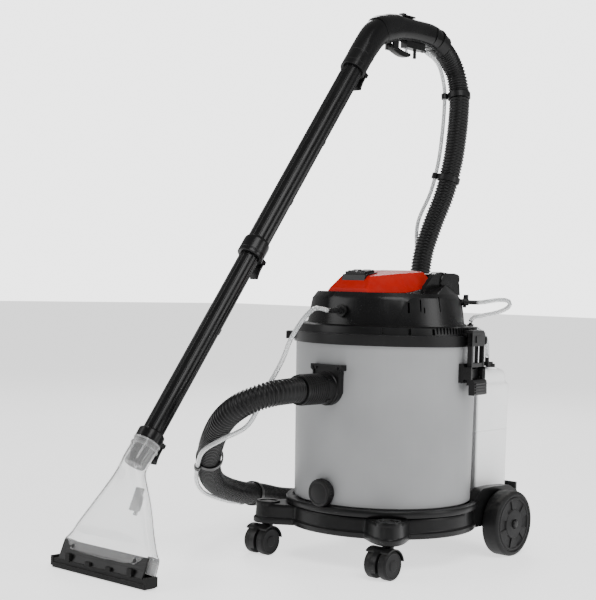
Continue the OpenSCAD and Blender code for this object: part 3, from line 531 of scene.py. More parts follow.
finishes = {
    "satinBlack": {"colour": (0.0038, 0.0038, 0.004), "second": (0.0058, 0.0058, 0.006),
                   "edge": (0.022, 0.022, 0.023),
                   "rough": (0.3, 0.4), "grainScale": 1400, "depth": 0.00012, "dust": 0.02,
                   "shader": {"Specular IOR Level": 0.2}},
    "headBlack": {"colour": (0.0034, 0.0034, 0.0036), "second": (0.005, 0.005, 0.0052), "edge": (0.02, 0.02, 0.021),
                  "rough": (0.24, 0.32), "grainScale": 1700, "depth": 0.0001, "dust": 0.02,
                  "shader": {"Specular IOR Level": 0.22}},
    "wandBlack": {"colour": (0.0034, 0.0034, 0.0036), "second": (0.005, 0.005, 0.0052),
                  "edge": (0.024, 0.024, 0.025),
                  "rough": (0.22, 0.3), "grainScale": 1600, "depth": 0.00008, "dust": 0.01, "scuff": 0.2,
                  "shader": {"Specular IOR Level": 0.22}},
    "hoseBlack": {"colour": (0.0032, 0.0032, 0.0034), "second": (0.005, 0.005, 0.0052),
                  "edge": (0.028, 0.028, 0.03),
                  "rough": (0.3, 0.4), "grainScale": 1200, "depth": 0.0001, "dust": 0.02, "wearWidth": 0.0006,
                  "shader": {"Specular IOR Level": 0.22}},
    "drumGrey": {"colour": (0.244, 0.248, 0.252), "second": (0.277, 0.281, 0.285), "edge": (0.37, 0.37, 0.37),
                 "rough": (0.4, 0.5), "grainScale": 900, "depth": 0.00012, "bump": 0.2, "dust": 0.08, "patch": 7,
                 "scuff": 0.12, "scuffWay": (14, 14, 900), "shader": {"Specular IOR Level": 0.2}},
    "coverRed": {"colour": (0.36, 0.0045, 0.0005), "second": (0.4, 0.006, 0.0008), "edge": (0.46, 0.012, 0.003),
                 "rough": (0.36, 0.44), "grainScale": 700, "depth": 0.00003, "bump": 0.1, "dust": 0.04,
                 "scuff": 0.1,
                 "shader": {"Specular IOR Level": 0.1}},
    "tankMilk": {"colour": (0.9, 0.91, 0.91), "second": (0.95, 0.955, 0.955), "edge": (0.94, 0.95, 0.95),
                 "rough": (0.36, 0.46), "grainScale": 420, "depth": 0.00012, "bump": 0.18, "dust": 0.04, "patch": 9,
                 "scuff": 0.15, "shader": {"Specular IOR Level": 0.45}},
    "plainSteel": {"colour": (0.52, 0.53, 0.54), "second": (0.6, 0.6, 0.61), "edge": (0.8, 0.8, 0.8),
                   "rough": (0.22, 0.32), "grainScale": 2200, "depth": 0.00002, "dust": 0.03, "scuff": 0.5,
                   "shader": {"Metallic": 1.0}},
    "lipRubber": {"colour": (0.0035, 0.0035, 0.0035), "second": (0.0055, 0.0055, 0.0055),
                  "edge": (0.03, 0.03, 0.03),
                  "rough": (0.62, 0.74), "grainScale": 1100, "depth": 0.0001, "dust": 0.12,
                  "shader": {"Specular IOR Level": 0.2}},
    "tyreRubber": {"colour": (0.0045, 0.0045, 0.0048), "second": (0.007, 0.007, 0.0073),
                   "edge": (0.03, 0.03, 0.031),
                   "rough": (0.45, 0.58), "grainScale": 1000, "depth": 0.00015, "dust": 0.12, "scuff": 0.4,
                   "shader": {"Specular IOR Level": 0.2}},
    "motorMetal": {"colour": (0.34, 0.34, 0.35), "second": (0.42, 0.42, 0.43), "edge": (0.6, 0.6, 0.6),
                   "rough": (0.35, 0.5), "grainScale": 1300, "depth": 0.0001, "dust": 0.1,
                   "shader": {"Metallic": 1.0}},
    "floatCream": {"colour": (0.62, 0.6, 0.54), "second": (0.68, 0.66, 0.6), "edge": (0.8, 0.78, 0.7),
                   "rough": (0.4, 0.5), "grainScale": 1100, "depth": 0.0001,
                   "shader": {"Specular IOR Level": 0.2}},
}
paint = {name: finishOf(name, look) for name, look in finishes.items()}


# See-through plastic: haze and fine scratches in the roughness, a faint tint.
def clearFinish(name, look):
    material = bpy.data.materials.new(name)
    material.use_nodes = True
    tree = material.node_tree
    shader = tree.nodes["Principled BSDF"]
    here = (tree.nodes.new("ShaderNodeTexCoord"), "Object")
    grain = grouped(tree, grainGroup, Vector=here, Grain_Scale=look["grainScale"], Patch_Scale=look["patch"])
    scuff = grouped(tree, hairScuffGroup, Vector=here, Stretch=look["scuffWay"], Amount=look["scuff"])
    tone = blended(tree, (grain, "Patch"), opaque(look["colour"]), opaque(look["second"]))
    tree.links.new(tone[0].outputs[tone[1]], shader.inputs["Base Color"])
    rough = ranged(tree, (grain, "Patch"), 0.0, 1.0, *look["rough"])
    rough = maths(tree, "ADD", rough, maths(tree, "MULTIPLY", (scuff, "Scuff"), 0.3), clamp=True)
    tree.links.new(rough[0].outputs[0], shader.inputs["Roughness"])
    bump = wired(tree, "ShaderNodeBump", Strength=0.12, Distance=0.0001, Height=(grain, "Height"))
    tree.links.new(bump.outputs[0], shader.inputs["Normal"])
    for socket, value in look["shader"].items():
        shader.inputs[socket].default_value = value
    return material


clearLooks = {
    "clearShell": {"colour": (0.94, 0.945, 0.945), "second": (0.97, 0.972, 0.972), "rough": (0.05, 0.12),
                   "grainScale": 500, "patch": 14, "scuff": 0.35, "scuffWay": (700, 700, 20),
                   "shader": {"Transmission Weight": 0.9, "IOR": 1.34, "Specular IOR Level": 0.6}},
    "clearTube": {"colour": (0.82, 0.835, 0.84), "second": (0.9, 0.905, 0.905), "rough": (0.12, 0.22),
                  "grainScale": 700, "patch": 30, "scuff": 0.2, "scuffWay": (600, 600, 60),
                  "shader": {"Transmission Weight": 0.75, "IOR": 1.3, "Specular IOR Level": 0.6}},
}
paint.update({name: clearFinish(name, look) for name, look in clearLooks.items()})
print("materials:", len(paint))

# Hose and clear tubes.
hoseLook = {"radius": 0.022, "ribDepth": 0.0024, "ribPitch": 0.0066, "sides": 26, "stepsPerRib": 8}
tubeLook = {"outer": 0.004, "inner": 0.0027, "sides": 14, "step": 0.006}
hoseRoute = [
    (0.005, -0.246, 0.311), (0.005, -0.272, 0.31), (-0.002, -0.299, 0.307), (-0.018, -0.322, 0.299),
    (-0.043, -0.336, 0.285), (-0.074, -0.336, 0.265), (-0.112, -0.32, 0.238), (-0.166, -0.282, 0.198),
    (-0.22, -0.232, 0.155), (-0.264, -0.176, 0.12), (-0.3, -0.108, 0.094), (-0.332, -0.024, 0.072),
    (-0.364, 0.066, 0.056), (-0.388, 0.145, 0.038), (-0.392, 0.215, 0.028), (-0.37, 0.28, 0.024),
    (-0.322, 0.325, 0.025), (-0.275, 0.352, 0.048), (-0.244, 0.366, 0.105), (-0.224, 0.37, 0.185),
    (-0.213, 0.37, 0.28), (-0.207, 0.37, 0.37), (-0.203, 0.37, 0.46), (-0.199, 0.374, 0.55),
    (-0.185, 0.386, 0.62), (-0.166, 0.402, 0.69), (-0.156, 0.416, 0.76), (-0.156, 0.43, 0.83),
    (-0.161, 0.442, 0.89), (-0.167, 0.446, 0.925), (-0.172, 0.44, 0.956), (-0.175, 0.423, 0.981),
    (-0.175, 0.399, 0.999), (-0.175, 0.372, 1.012)]
lineRoute = [
    (0.013, -0.182, 0.447), (0.013, -0.2, 0.45), (0.016, -0.222, 0.45), (0.019, -0.246, 0.438),
    (0.016, -0.264, 0.418), (0.01, -0.276, 0.394), (0.002, -0.282, 0.366), (-0.014, -0.284, 0.338),
    (-0.03, -0.288, 0.311), (-0.034, -0.301, 0.281), (-0.051, -0.313, 0.247), (-0.082, -0.337, 0.225),
    (-0.128, -0.334, 0.202), (-0.186, -0.292, 0.17), (-0.243, -0.24, 0.128), (-0.288, -0.18, 0.096),
    (-0.324, -0.11, 0.072), (-0.356, -0.025, 0.05), (-0.389, 0.065, 0.038), (-0.413, 0.145, 0.023),
    (-0.419, 0.215, 0.012), (-0.394, 0.294, 0.01), (-0.332, 0.352, 0.014), (-0.278, 0.379, 0.037),
    (-0.25, 0.394, 0.1), (-0.235, 0.398, 0.182), (-0.23, 0.394, 0.28), (-0.226, 0.392, 0.37),
    (-0.224, 0.392, 0.46), (-0.226, 0.392, 0.55), (-0.212, 0.372, 0.627), (-0.19, 0.386, 0.696),
    (-0.182, 0.4, 0.762), (-0.182, 0.412, 0.83), (-0.186, 0.422, 0.884), (-0.189, 0.425, 0.92),
    (-0.187, 0.413, 0.947), (-0.181, 0.392, 0.966), (-0.176, 0.366, 0.978), (-0.175, 0.342, 0.985),
    (-0.175, 0.331, 0.989)]
loopRoute = [
    (0.123, 0.11, 0.466), (0.132, 0.118, 0.467), (0.144, 0.128, 0.47), (0.157, 0.14, 0.472),
    (0.167, 0.149, 0.47), (0.168, 0.15, 0.461), (0.158, 0.141, 0.452), (0.144, 0.128, 0.446),
    (0.13, 0.116, 0.442), (0.119, 0.106, 0.438), (0.115, 0.103, 0.43)]
feedRoute = [
    (0.075, 0.161, 0.415), (0.08, 0.172, 0.416), (0.086, 0.184, 0.409), (0.091, 0.193, 0.394),
    (0.092, 0.196, 0.377), (0.092, 0.196, 0.361)]


def makeHose():
    line, length = smoothLine(hoseRoute, 0.006)
    hose = grown("suctionHose", pathMesh("hosePath", line), ribbedTubeTree(), Radius=hoseLook["radius"],
                 Rib_Depth=hoseLook["ribDepth"], Rib_Pitch=hoseLook["ribPitch"], Sides=hoseLook["sides"],
                 Steps_Per_Rib=hoseLook["stepsPerRib"], Material=paint["hoseBlack"])
    facedOut(hose)
    settled(hose, paint["hoseBlack"], ["suction_hose"])
    print("hose:", round(length, 3), "m")


def makeTube(name, route, node):
    line, length = smoothLine(route, tubeLook["step"])
    tube = hollowTube(name, line, tubeLook["outer"], tubeLook["inner"], tubeLook["sides"])
    settled(tube, paint["clearTube"], [node])
    print(name + ":", round(length, 3), "m")


makeHose()
makeTube("sprayLine", lineRoute, "solution_tube")
makeTube("overflowLoop", loopRoute, "tank_tube")
makeTube("tankFeed", feedRoute, "feed_tube")

# Repeating shapes.
# Copies of an item turned round the z axis.
def aroundTree():
    tree, given, out = newTree("aroundAxis", [
        ("Count", "NodeSocketInt", 8), ("Start", "NodeSocketFloat", 0.0), ("Step", "NodeSocketFloat", 0.5),
        ("Material", "NodeSocketMaterial", None)])
    seats = wired(tree, "GeometryNodeMeshLine", Count=(given, "Count"), Offset=(0, 0, 0))
    number = tree.nodes.new("GeometryNodeInputIndex")
    angle = maths(tree, "ADD", maths(tree, "MULTIPLY", (number, 0), (given, "Step")), (given, "Start"))
    spin = wired(tree, "ShaderNodeCombineXYZ", Z=angle)
    turn = wired(tree, "FunctionNodeEulerToRotation", Euler=(spin, 0))
    copies = wired(tree, "GeometryNodeInstanceOnPoints", Points=(seats, "Mesh"), Instance=(given, "Geometry"),
                 Rotation=(turn, 0))
    return endTree(tree, given, out, (copies, "Instances"))


# Copies of an item in a straight row.
def rowTree():
    tree, given, out = newTree("straightRow", [
        ("Count", "NodeSocketInt", 5), ("Offset", "NodeSocketVector", (0, 0, 0.01)),
        ("Material", "NodeSocketMaterial", None)])
    seats = wired(tree, "GeometryNodeMeshLine", Count=(given, "Count"), Offset=(given, "Offset"))
    copies = wired(tree, "GeometryNodeInstanceOnPoints", Points=(seats, "Mesh"), Instance=(given, "Geometry"))
    return endTree(tree, given, out, (copies, "Instances"))


around, row = aroundTree(), rowTree()


def ringOf(name, item, count, step=None, start=0.0, finish="satinBlack"):
    turn = 2 * math.pi / count if step is None else math.radians(step)
    return grown(name, item, around, Count=count, Start=math.radians(start), Step=turn, Material=paint[finish])


def rowOf(name, item, count, offset, finish="satinBlack"):
    return grown(name, item, row, Count=count, Offset=offset, Material=paint[finish])


def placed(obj, place):
    obj.data.transform(place)
    return facedOut(obj) if place.determinant() < 0 else obj


def shifted(x, y, z):
    return Matrix.Translation((x, y, z))


def turnedBy(degrees, axis):
    return Matrix.Rotation(math.radians(degrees), 4, axis)


# Wand.
wandLook = {"foot": (-0.175, -0.424, 0.217), "lean": 36.5, "lowRadius": 0.019, "upRadius": 0.0215,
            "ridges": 12, "ridgeHeight": 0.0017, "ridgeWidth": 0.0022, "midCollar": 0.4, "topCollar": 0.868}
wandFrame = shifted(*wandLook["foot"]) @ turnedBy(-wandLook["lean"], "X")


def ridgedTube(name, radius, low, high):
    deep = radius - wandLook["ridgeHeight"]
    tube = turned(name, [(0, low), (deep, low), (deep, high), (0, high)], 72)
    half = wandLook["ridgeWidth"] / 2
    ridge = plated("ridge", [(deep - 0.001, -half * 1.5), (radius - 0.0004, -half), (radius, -half * 0.5),
                             (radius, half * 0.5), (radius - 0.0004, half), (deep - 0.001, half * 1.5)],
                   low, high, axis="z")
    ridges = ringOf("ridges", ridge, wandLook["ridges"], start=8)
    return joined(name, [tube, ridges])


def lockEars(radius, w):
    return [boxed("ear", (s * 0.011 - 0.0015, radius - 0.004, w - 0.004),
                  (s * 0.011 + 0.0015, radius + 0.007, w + 0.004))
            for s in (-1, 1)]


def makeWand():
    low, up, mid = wandLook["lowRadius"], wandLook["upRadius"], wandLook["midCollar"]
    foot = [turned("footCollar", [(0, 0.0), (low + 0.0035, 0.0), (low + 0.005, 0.0015), (low + 0.005, 0.0175),
                                  (low + 0.0035, 0.019), (low + 0.001, 0.021), (0, 0.021)]),
            turned("plug", [(0, -0.046), (low - 0.001, -0.046), (low, -0.044), (low, -0.03),
                            (low - 0.0008, -0.0295),
                            (low - 0.0008, -0.027), (low, -0.0265), (low, -0.016), (low - 0.0008, -0.0155),
                            (low - 0.0008, -0.013), (low, -0.0125), (low, 0.003), (0, 0.003)])]
    tab = boxed("tab", (-0.004, low - 0.001, 0.24), (0.004, low + 0.004, 0.252))
    pieces = [ridgedTube("tube", low, 0.018, mid + 0.004), *foot, tab, *lockEars(low + 0.005, 0.01)]
    lower = rounded(placed(joined("wandLower", pieces), wandFrame), 0.0005)
    settled(lower, paint["wandBlack"], ["wand_lower"])
    collar = turned("midCollar", [(0, mid - 0.0005), (up + 0.002, mid - 0.0005), (up + 0.0035, mid + 0.001),
                                  (up + 0.0035, mid + 0.006), (up + 0.0027, mid + 0.0066),
                                  (up + 0.0027, mid + 0.0085),
                                  (up + 0.0035, mid + 0.009), (up + 0.0035, mid + 0.03), (up + 0.0022, mid + 0.034),
                                  (up + 0.0004, mid + 0.037), (0, mid + 0.037)])
    tabs = [boxed("tab", (-0.004, up - 0.001, w - 0.006), (0.004, up + 0.0042, w + 0.006)) for w in (0.549, 0.698)]
    pieces = [ridgedTube("tube", up, mid + 0.03, wandLook["topCollar"] + 0.004), collar, *tabs,
              *lockEars(up + 0.0035, mid + 0.008)]
    upper = rounded(placed(joined("wandUpper", pieces), wandFrame), 0.0005)
    settled(upper, paint["wandBlack"], ["wand_upper"])
    print("wand made")


def makeLockLever(name, node, w, radius):
    hinge = shifted(0, radius + 0.0035, w)
    blade = [(0.0035, 0.0012), (0.0035, -0.012), (0.0045, -0.024), (0.0075, -0.032), (0.0055, -0.034),
             (0.002, -0.029), (0.0, -0.022), (0.0, 0.0012)]
    paddle = plated("paddle", blade, -0.0093, 0.0093)
    ribs = rowOf("ribs", boxed("rib", (-0.0085, 0.0035, -0.0285), (0.0085, 0.0068, -0.0273)), 4,
                 (0, -0.0004, 0.0028))
    barrel = rod("barrel", (-0.0093, 0, 0), (0.0093, 0, 0), 0.003)
    pin = rod("pin", (-0.0125, 0, 0), (0.0125, 0, 0), 0.0015, 20)
    lever = placed(joined(name, [paddle, ribs, barrel, pin]), wandFrame @ hinge)
    settled(rounded(lever, 0.0005), paint["satinBlack"], [node])


makeWand()
makeLockLever("lockLeverLow", "lock_lever_low", 0.01, 0.024)
makeLockLever("lockLeverMid", "lock_lever_mid", 0.408, 0.025)
makeLockLever("lockLeverTop", "lock_lever_top", 0.882, 0.0255)


# Handle.
handleLook = {"x": -0.175, "points": 40,
              # back, height, lean from upright, half height, half width, squareness
              "stations": [(0.0925, 0.9149, 36.5, 0.0255, 0.0255, 2.0), (0.0995, 0.9243, 36.5, 0.0255, 0.0255, 2.0),
                           (0.1175, 0.9486, 37.0, 0.0252, 0.0248, 2.1), (0.1345, 0.9702, 40.0, 0.0262, 0.024, 2.3),
                           (0.156, 0.994, 50.0, 0.0272, 0.0234, 2.5), (0.18, 1.0095, 64.0, 0.0282, 0.0232, 2.6),
                           (0.206, 1.0185, 78.0, 0.0284, 0.023, 2.6), (0.235, 1.0215, 86.0, 0.0262, 0.0228, 2.6),
                           (0.27, 1.0235, 90.0, 0.024, 0.0226, 2.6), (0.305, 1.024, 92.0, 0.024, 0.0228, 2.6),
                           (0.33, 1.0235, 98.0, 0.025, 0.0232, 2.5), (0.35, 1.021, 108.0, 0.0256, 0.0238, 2.3),
                           (0.364, 1.0165, 115.0, 0.025, 0.0245, 2.1), (0.372, 1.013, 115.0, 0.024, 0.024, 2.0)]}


def superRing(halfA, halfB, power, count):
    ring = []
    for k in range(count):
        c, s = math.cos(2 * math.pi * k / count), math.sin(2 * math.pi * k / count)
        ring.append((halfA * math.copysign(abs(c) ** (2 / power), c),
                     halfB * math.copysign(abs(s) ** (2 / power), s)))
    return ring


# Station values between the given ones, on smooth curves.
def betweenStations(stations, steps):
    ends = [tuple(2 * a - b for a, b in zip(stations[0], stations[1])), *stations,
            tuple(2 * a - b for a, b in zip(stations[-1], stations[-2]))]
    fine = []
    for quad in zip(ends, ends[1:], ends[2:], ends[3:]):
        for i in range(steps):
            t = i / steps
            fine.append(tuple(0.5 * (2 * b + (c - a) * t + (2 * a - 5 * b + 4 * c - d) * t * t
                                     + (3 * b - 3 * c + d - a) * t ** 3) for a, b, c, d in zip(*quad)))
    return fine + [tuple(stations[-1])]


def stationRings(x, stations, count, shrink=0.0):
    rings = []
    for back, height, lean, halfTall, halfWide, power in stations:
        turn = shifted(x, back, height) @ turnedBy(-lean, "X")
        rings.append([turn @ Vector((a, b, 0)) for a, b in
                      superRing(halfWide - shrink, halfTall - shrink, power, count)])
    return rings


def makeHandle():
    x = handleLook["x"]
    grip = lofted("handleShell", stationRings(x, betweenStations(handleLook["stations"], 4), handleLook["points"]))
    top = wandFrame @ shifted(0, 0, wandLook["topCollar"])
    up = wandLook["upRadius"]
    collar = turned("collar", [(0, 0), (up + 0.003, 0), (up + 0.0042, 0.0012), (up + 0.0042, 0.01),
                               (up + 0.0034, 0.0106),
                               (up + 0.0034, 0.0126), (up + 0.0042, 0.0132), (up + 0.0042, 0.034),
                               (up + 0.003, 0.036),
                               (up + 0.003, 0.0385), (up + 0.0044, 0.0395), (up + 0.0044, 0.062), (0, 0.062)], 72,
                               top)
    knob = turned("knob", [(0, 0), (0.0125, 0), (0.0125, 0.004), (0.0112, 0.0066), (0.007, 0.0078), (0, 0.0082)],
                  48,
                  shifted(x, 0.14, 1.009) @ turnedBy(-50, "X") @ turnedBy(90, "X") @ turnedBy(180, "X"))
    cheeks = [boxed("cheek", (x + s * 0.0095 - 0.0025, 0.21, 0.9755), (x + s * 0.0095 + 0.0025, 0.226, 0.998))
              for s in (-1, 1)]
    ears = [placed(ear, wandFrame) for ear in lockEars(up + 0.004, 0.882)]
    slot = boxed("slot", (x - 0.0082, 0.2035, 0.955), (x + 0.0082, 0.249, 1.0005))
    bands = [turned("band", [(0.0225, -0.0007), (0.0262, -0.0007), (0.0262, 0.0007), (0.0225, 0.0007)], 72,
                    shifted(x, y, z) @ turnedBy(-lean, "X"), closedLoop=True)
             for y, z, lean in ((0.121, 0.953, 37.5), (0.342, 1.0222, 104))]
    step = lofted("step", stationRings(x, [(0.172, 1.0062, 58, 0.0295, 0.024, 2.5),
                                           (0.18, 1.0104, 64, 0.0302, 0.0244, 2.6),
                                           (0.22, 1.0205, 81, 0.0286, 0.024, 2.6),
                                           (0.233, 1.0218, 85, 0.0268, 0.0236, 2.6)],
                                       handleLook["points"]))
    step = carved(step, [boxed("slot", (x - 0.0082, 0.2035, 0.955), (x + 0.0082, 0.249, 1.0005))])
    seam = boxed("seam", (x - 0.0003, 0.05, 0.9), (x + 0.0003, 0.42, 1.08))
    mouth = turned("mouth", [(0, -0.012), (0.0223, -0.012), (0.0223, 0.04), (0, 0.04)], 64,
                   shifted(x, 0.364, 1.018) @ turnedBy(-115, "X"))
    low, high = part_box("valve_plunger")
    bore = boxed("bore", (low[0] - 0.001, low[1] - 0.001, low[2]),
                 (high[0] + 0.001, high[1] + 0.001, high[2] + 0.008))
    grip = carved(grip, [slot])
    grip = carved(grip, [mouth])
    grip = carved(grip, [bore])
    grip = carved(grip, [seam])
    body = joined("handleShell", [grip, collar, knob, step, *bands, *cheeks, *ears])
    settled(rounded(body, 0.0006), paint["wandBlack"], ["handle_shell_left", "handle_shell_right"])
    print("handle made")


def makeTrigger():
    x = handleLook["x"]
    outline = [(0.209, 0.9845), (0.214, 0.9872), (0.225, 0.9872), (0.231, 0.9822), (0.243, 0.9792), (0.262, 0.9757),
               (0.2715, 0.976), (0.2755, 0.9735), (0.275, 0.97), (0.269, 0.9672), (0.26, 0.9655),
               (0.248, 0.9652), (0.236, 0.9672), (0.223, 0.971), (0.213, 0.9755), (0.2085, 0.9795)]
    rings = []
    middle = (sum(p[0] for p in outline) / len(outline), sum(p[1] for p in outline) / len(outline))
    for side, shrink in ((-0.007, 0.8), (-0.0056, 0.95), (-0.003, 1.0), (0.003, 1.0), (0.0056, 0.95), (0.007, 0.8)):
        rings.append([(x + side, middle[0] + (a - middle[0]) * (1 - (1 - shrink) * 0.35),
                       b - (1 - shrink) * 0.004 * (1 if b > middle[1] else -1)) for a, b in outline])
    pin = rod("pin", (x - 0.0105, 0.218, 0.981), (x + 0.0105, 0.218, 0.981), 0.002, 24)
    hook = joined("trigger", [lofted("hook", rings), pin])
    settled(rounded(hook, 0.0004), paint["satinBlack"], ["trigger"])


makeHandle()
makeTrigger()

# Floor nozzle.
nozzleLook = {"place": (-0.175, -0.515, 0.0), "lean": 22.5, "wall": 0.0024, "points": 48,
              "lipHalf": 0.117, "lugs": (-0.026, 0.026), "screws": (-0.078, 0.078),
              # back, height, lean from upright, half depth, half width, squareness
              "shell": [(-0.424, 0.217, 36.5, 0.0236, 0.0236, 2.0), (-0.4299, 0.209, 36.5, 0.0236, 0.0236, 2.0),
                        (-0.448, 0.186, 36.0, 0.0236, 0.0236, 2.0), (-0.4545, 0.174, 33.0, 0.0222, 0.025, 2.2),
                        (-0.46, 0.156, 28.0, 0.0195, 0.0365, 2.6), (-0.4672, 0.133, 24.0, 0.0172, 0.053, 3.2),
                        (-0.476, 0.108, 22.5, 0.0158, 0.069, 4.0), (-0.485, 0.085, 22.5, 0.0148, 0.0832, 4.8),
                        (-0.49, 0.07, 22.5, 0.0142, 0.0925, 5.4), (-0.493, 0.059, 22.5, 0.0138, 0.0992, 5.8),
                        (-0.496, 0.051, 22.5, 0.0136, 0.106, 6.0), (-0.4985, 0.044, 22.5, 0.0136, 0.1122, 6.0),
                        (-0.5065, 0.0204, 22.5, 0.0136, 0.1132, 6.0)]}
nozzleFrame = shifted(*nozzleLook["place"]) @ turnedBy(-nozzleLook["lean"], "X")


def hollowLoft(name, x, stations, count, wall):
    outer, inner = stationRings(x, stations, count), stationRings(x, stations, count, wall)
    n, m = count, count * len(outer)
    verts = [p for ring in outer + inner for p in ring]
    faces = []
    for a in range(len(outer) - 1):
        for i in range(n):
            j = (i + 1) % n
            quad = (a * n + i, a * n + j, (a + 1) * n + j, (a + 1) * n + i)
            faces += [quad, tuple(m + v for v in reversed(quad))]
    for base in (0, m - n):
        faces += [(base + i, base + (i + 1) % n, m + base + (i + 1) % n, m + base + i) for i in range(n)]
    return facedOut(meshObject(name, verts, faces))


def makeNozzle():
    shell = hollowLoft("nozzleShell", nozzleLook["place"][0], betweenStations(nozzleLook["shell"], 3),
                       nozzleLook["points"], nozzleLook["wall"])
    ring = placed(turned("ring", [(0.0234, -0.014), (0.0252, -0.013), (0.0252, -0.009), (0.0234, -0.008)], 64,
                         closedLoop=True), wandFrame)
    hoop = placed(turned("hoop", [(0.0234, -0.003), (0.025, -0.0025), (0.025, 0.0), (0.0234, 0.0)], 64,
                         closedLoop=True), wandFrame)
    bosses = [placed(turned("boss", [(0, 0), (0.0062, 0), (0.0062, 0.0016), (0, 0.0016)], 32,
                            shifted(at, -0.0136, 0.038) @ turnedBy(90, "X")),
                            nozzleFrame) for at in nozzleLook["screws"]]
    shell = rounded(joined("nozzleShell", [shell, ring, hoop, *bosses]), 0.0004)
    settled(shell, paint["clearShell"], ["nozzle_body"])
    bar = boxed("bar", (-0.106, -0.0141, 0.0226), (0.106, 0.0098, 0.047))
    inner = boxed("inner", (-0.098, -0.0045, 0.01), (0.098, 0.0045, 0.07))
    bar = carved(bar, [inner])
    lines = rowOf("lines", boxed("line", (-0.104, -0.0145, 0.026), (0.104, -0.0139, 0.0268)), 4, (0, 0, 0.006))
    corners = [boxed("corner", (s * 0.1035 - 0.0045, -0.0094, 0.0226), (s * 0.1035 + 0.0045, 0.0094, 0.05))
               for s in (-1, 1)]
    webs = [boxed("web", (-0.106, y - 0.002, 0.0105), (0.106, y + 0.002, 0.0232)) for y in (-0.0121, 0.0078)]
    holder = placed(joined("nozzleHolder", [bar, lines, *corners, *webs]), nozzleFrame)
    settled(rounded(holder, 0.0006), paint["satinBlack"], ["nozzle_holder"])
    x = nozzleLook["place"][0]
    half = nozzleLook["lipHalf"]
    base = carved(boxed("base", (x - half, -0.527, 0.0015), (x + half, -0.503, 0.01)),
                  [boxed("gap", (x - half + 0.01, -0.5195, -0.01), (x + half - 0.01, -0.5105, 0.02))])
    cap = carved(boxed("cap", (x - half - 0.003, -0.5255, 0.0095), (x + half + 0.003, -0.5025, 0.0175)),
                 [boxed("gap", (x - half + 0.01, -0.5195, -0.01), (x + half - 0.01, -0.5105, 0.03))])
    blades = [boxed("blade", (x - half + 0.004, y - 0.0011, 0.0), (x + half - 0.004, y + 0.0011, 0.006))
              for y in (-0.5215, -0.5085)]
    lugs = [boxed("lug", (x + at - 0.006, -0.5268, 0.0165),
                  (x + at + 0.006, -0.52, 0.0235)) for at in nozzleLook["lugs"]]
    tabs = [boxed("screwTab", (x + at - 0.0055, -0.5266, 0.016), (x + at + 0.0055, -0.521, 0.03))
            for at in nozzleLook["screws"]]
    ends = [boxed("endClip", (x + s * (half + 0.0005) - 0.0045, -0.5265, 0.004),
                  (x + s * (half + 0.0005) + 0.0025 + (0.002 if s > 0 else 0), -0.5035, 0.0205)) for s in (-1, 1)]
    ridges = rowOf("ridges", boxed("ridge", (x - half + 0.006, -0.527, 0.0028),
                                   (x + half - 0.006, -0.5262, 0.0038)),
                   3, (0, 0, 0.0022))
    lip = joined("nozzleLip", [base, cap, *blades, *lugs, *tabs, *ends, ridges])
    settled(rounded(lip, 0.0006), paint["lipRubber"], ["nozzle_lip"])
    print("nozzle made")


makeNozzle()


# Motor head.
headLook = {"top": 0.48, "foot": 0.423, "recessFrom": 43.0, "recessTo": 136.0, "recessDeep": 0.003,
            "slots": ((54.0, 0.446, 0.464, 0.0036), (63.5, 0.449, 0.47, 0.0026), (66.5, 0.446, 0.456, 0.0026),
                      (81.0, 0.449, 0.475, 0.0024)), "ventFrom": 71.0, "ventStep": 2.6, "vents": 21}


def radiusAt(height):
    return 0.146 - 0.009 * (height - headLook["foot"]) / 0.045


def around3(phi, radius, height):
    return Vector((radius * math.sin(math.radians(phi)), -radius * math.cos(math.radians(phi)), height))


# A curved block that follows the head's side; its top rises as an arch.
def sidePanelCutter(side):
    rings = []
    steps = 40
    for i in range(steps + 1):
        phi = headLook["recessFrom"] + (headLook["recessTo"] - headLook["recessFrom"]) * i / steps
        rise = min(1.0, (phi - headLook["recessFrom"]) / 15.0, (headLook["recessTo"] - phi) / 10.0)
        high = 0.427 + 0.0455 * math.sin(max(0.02, rise) * math.pi / 2)
        low = 0.4262
        deep = headLook["recessDeep"]
        rings.append([around3(phi, r, z) for r, z in ((radiusAt(low) - deep, low), (0.16, low), (0.16, high),
                                                      (radiusAt(high) - deep, high))])
    cutter = lofted("panel", rings)
    return placed(cutter, Matrix.Scale(-1, 4, (1, 0, 0))) if side < 0 else cutter


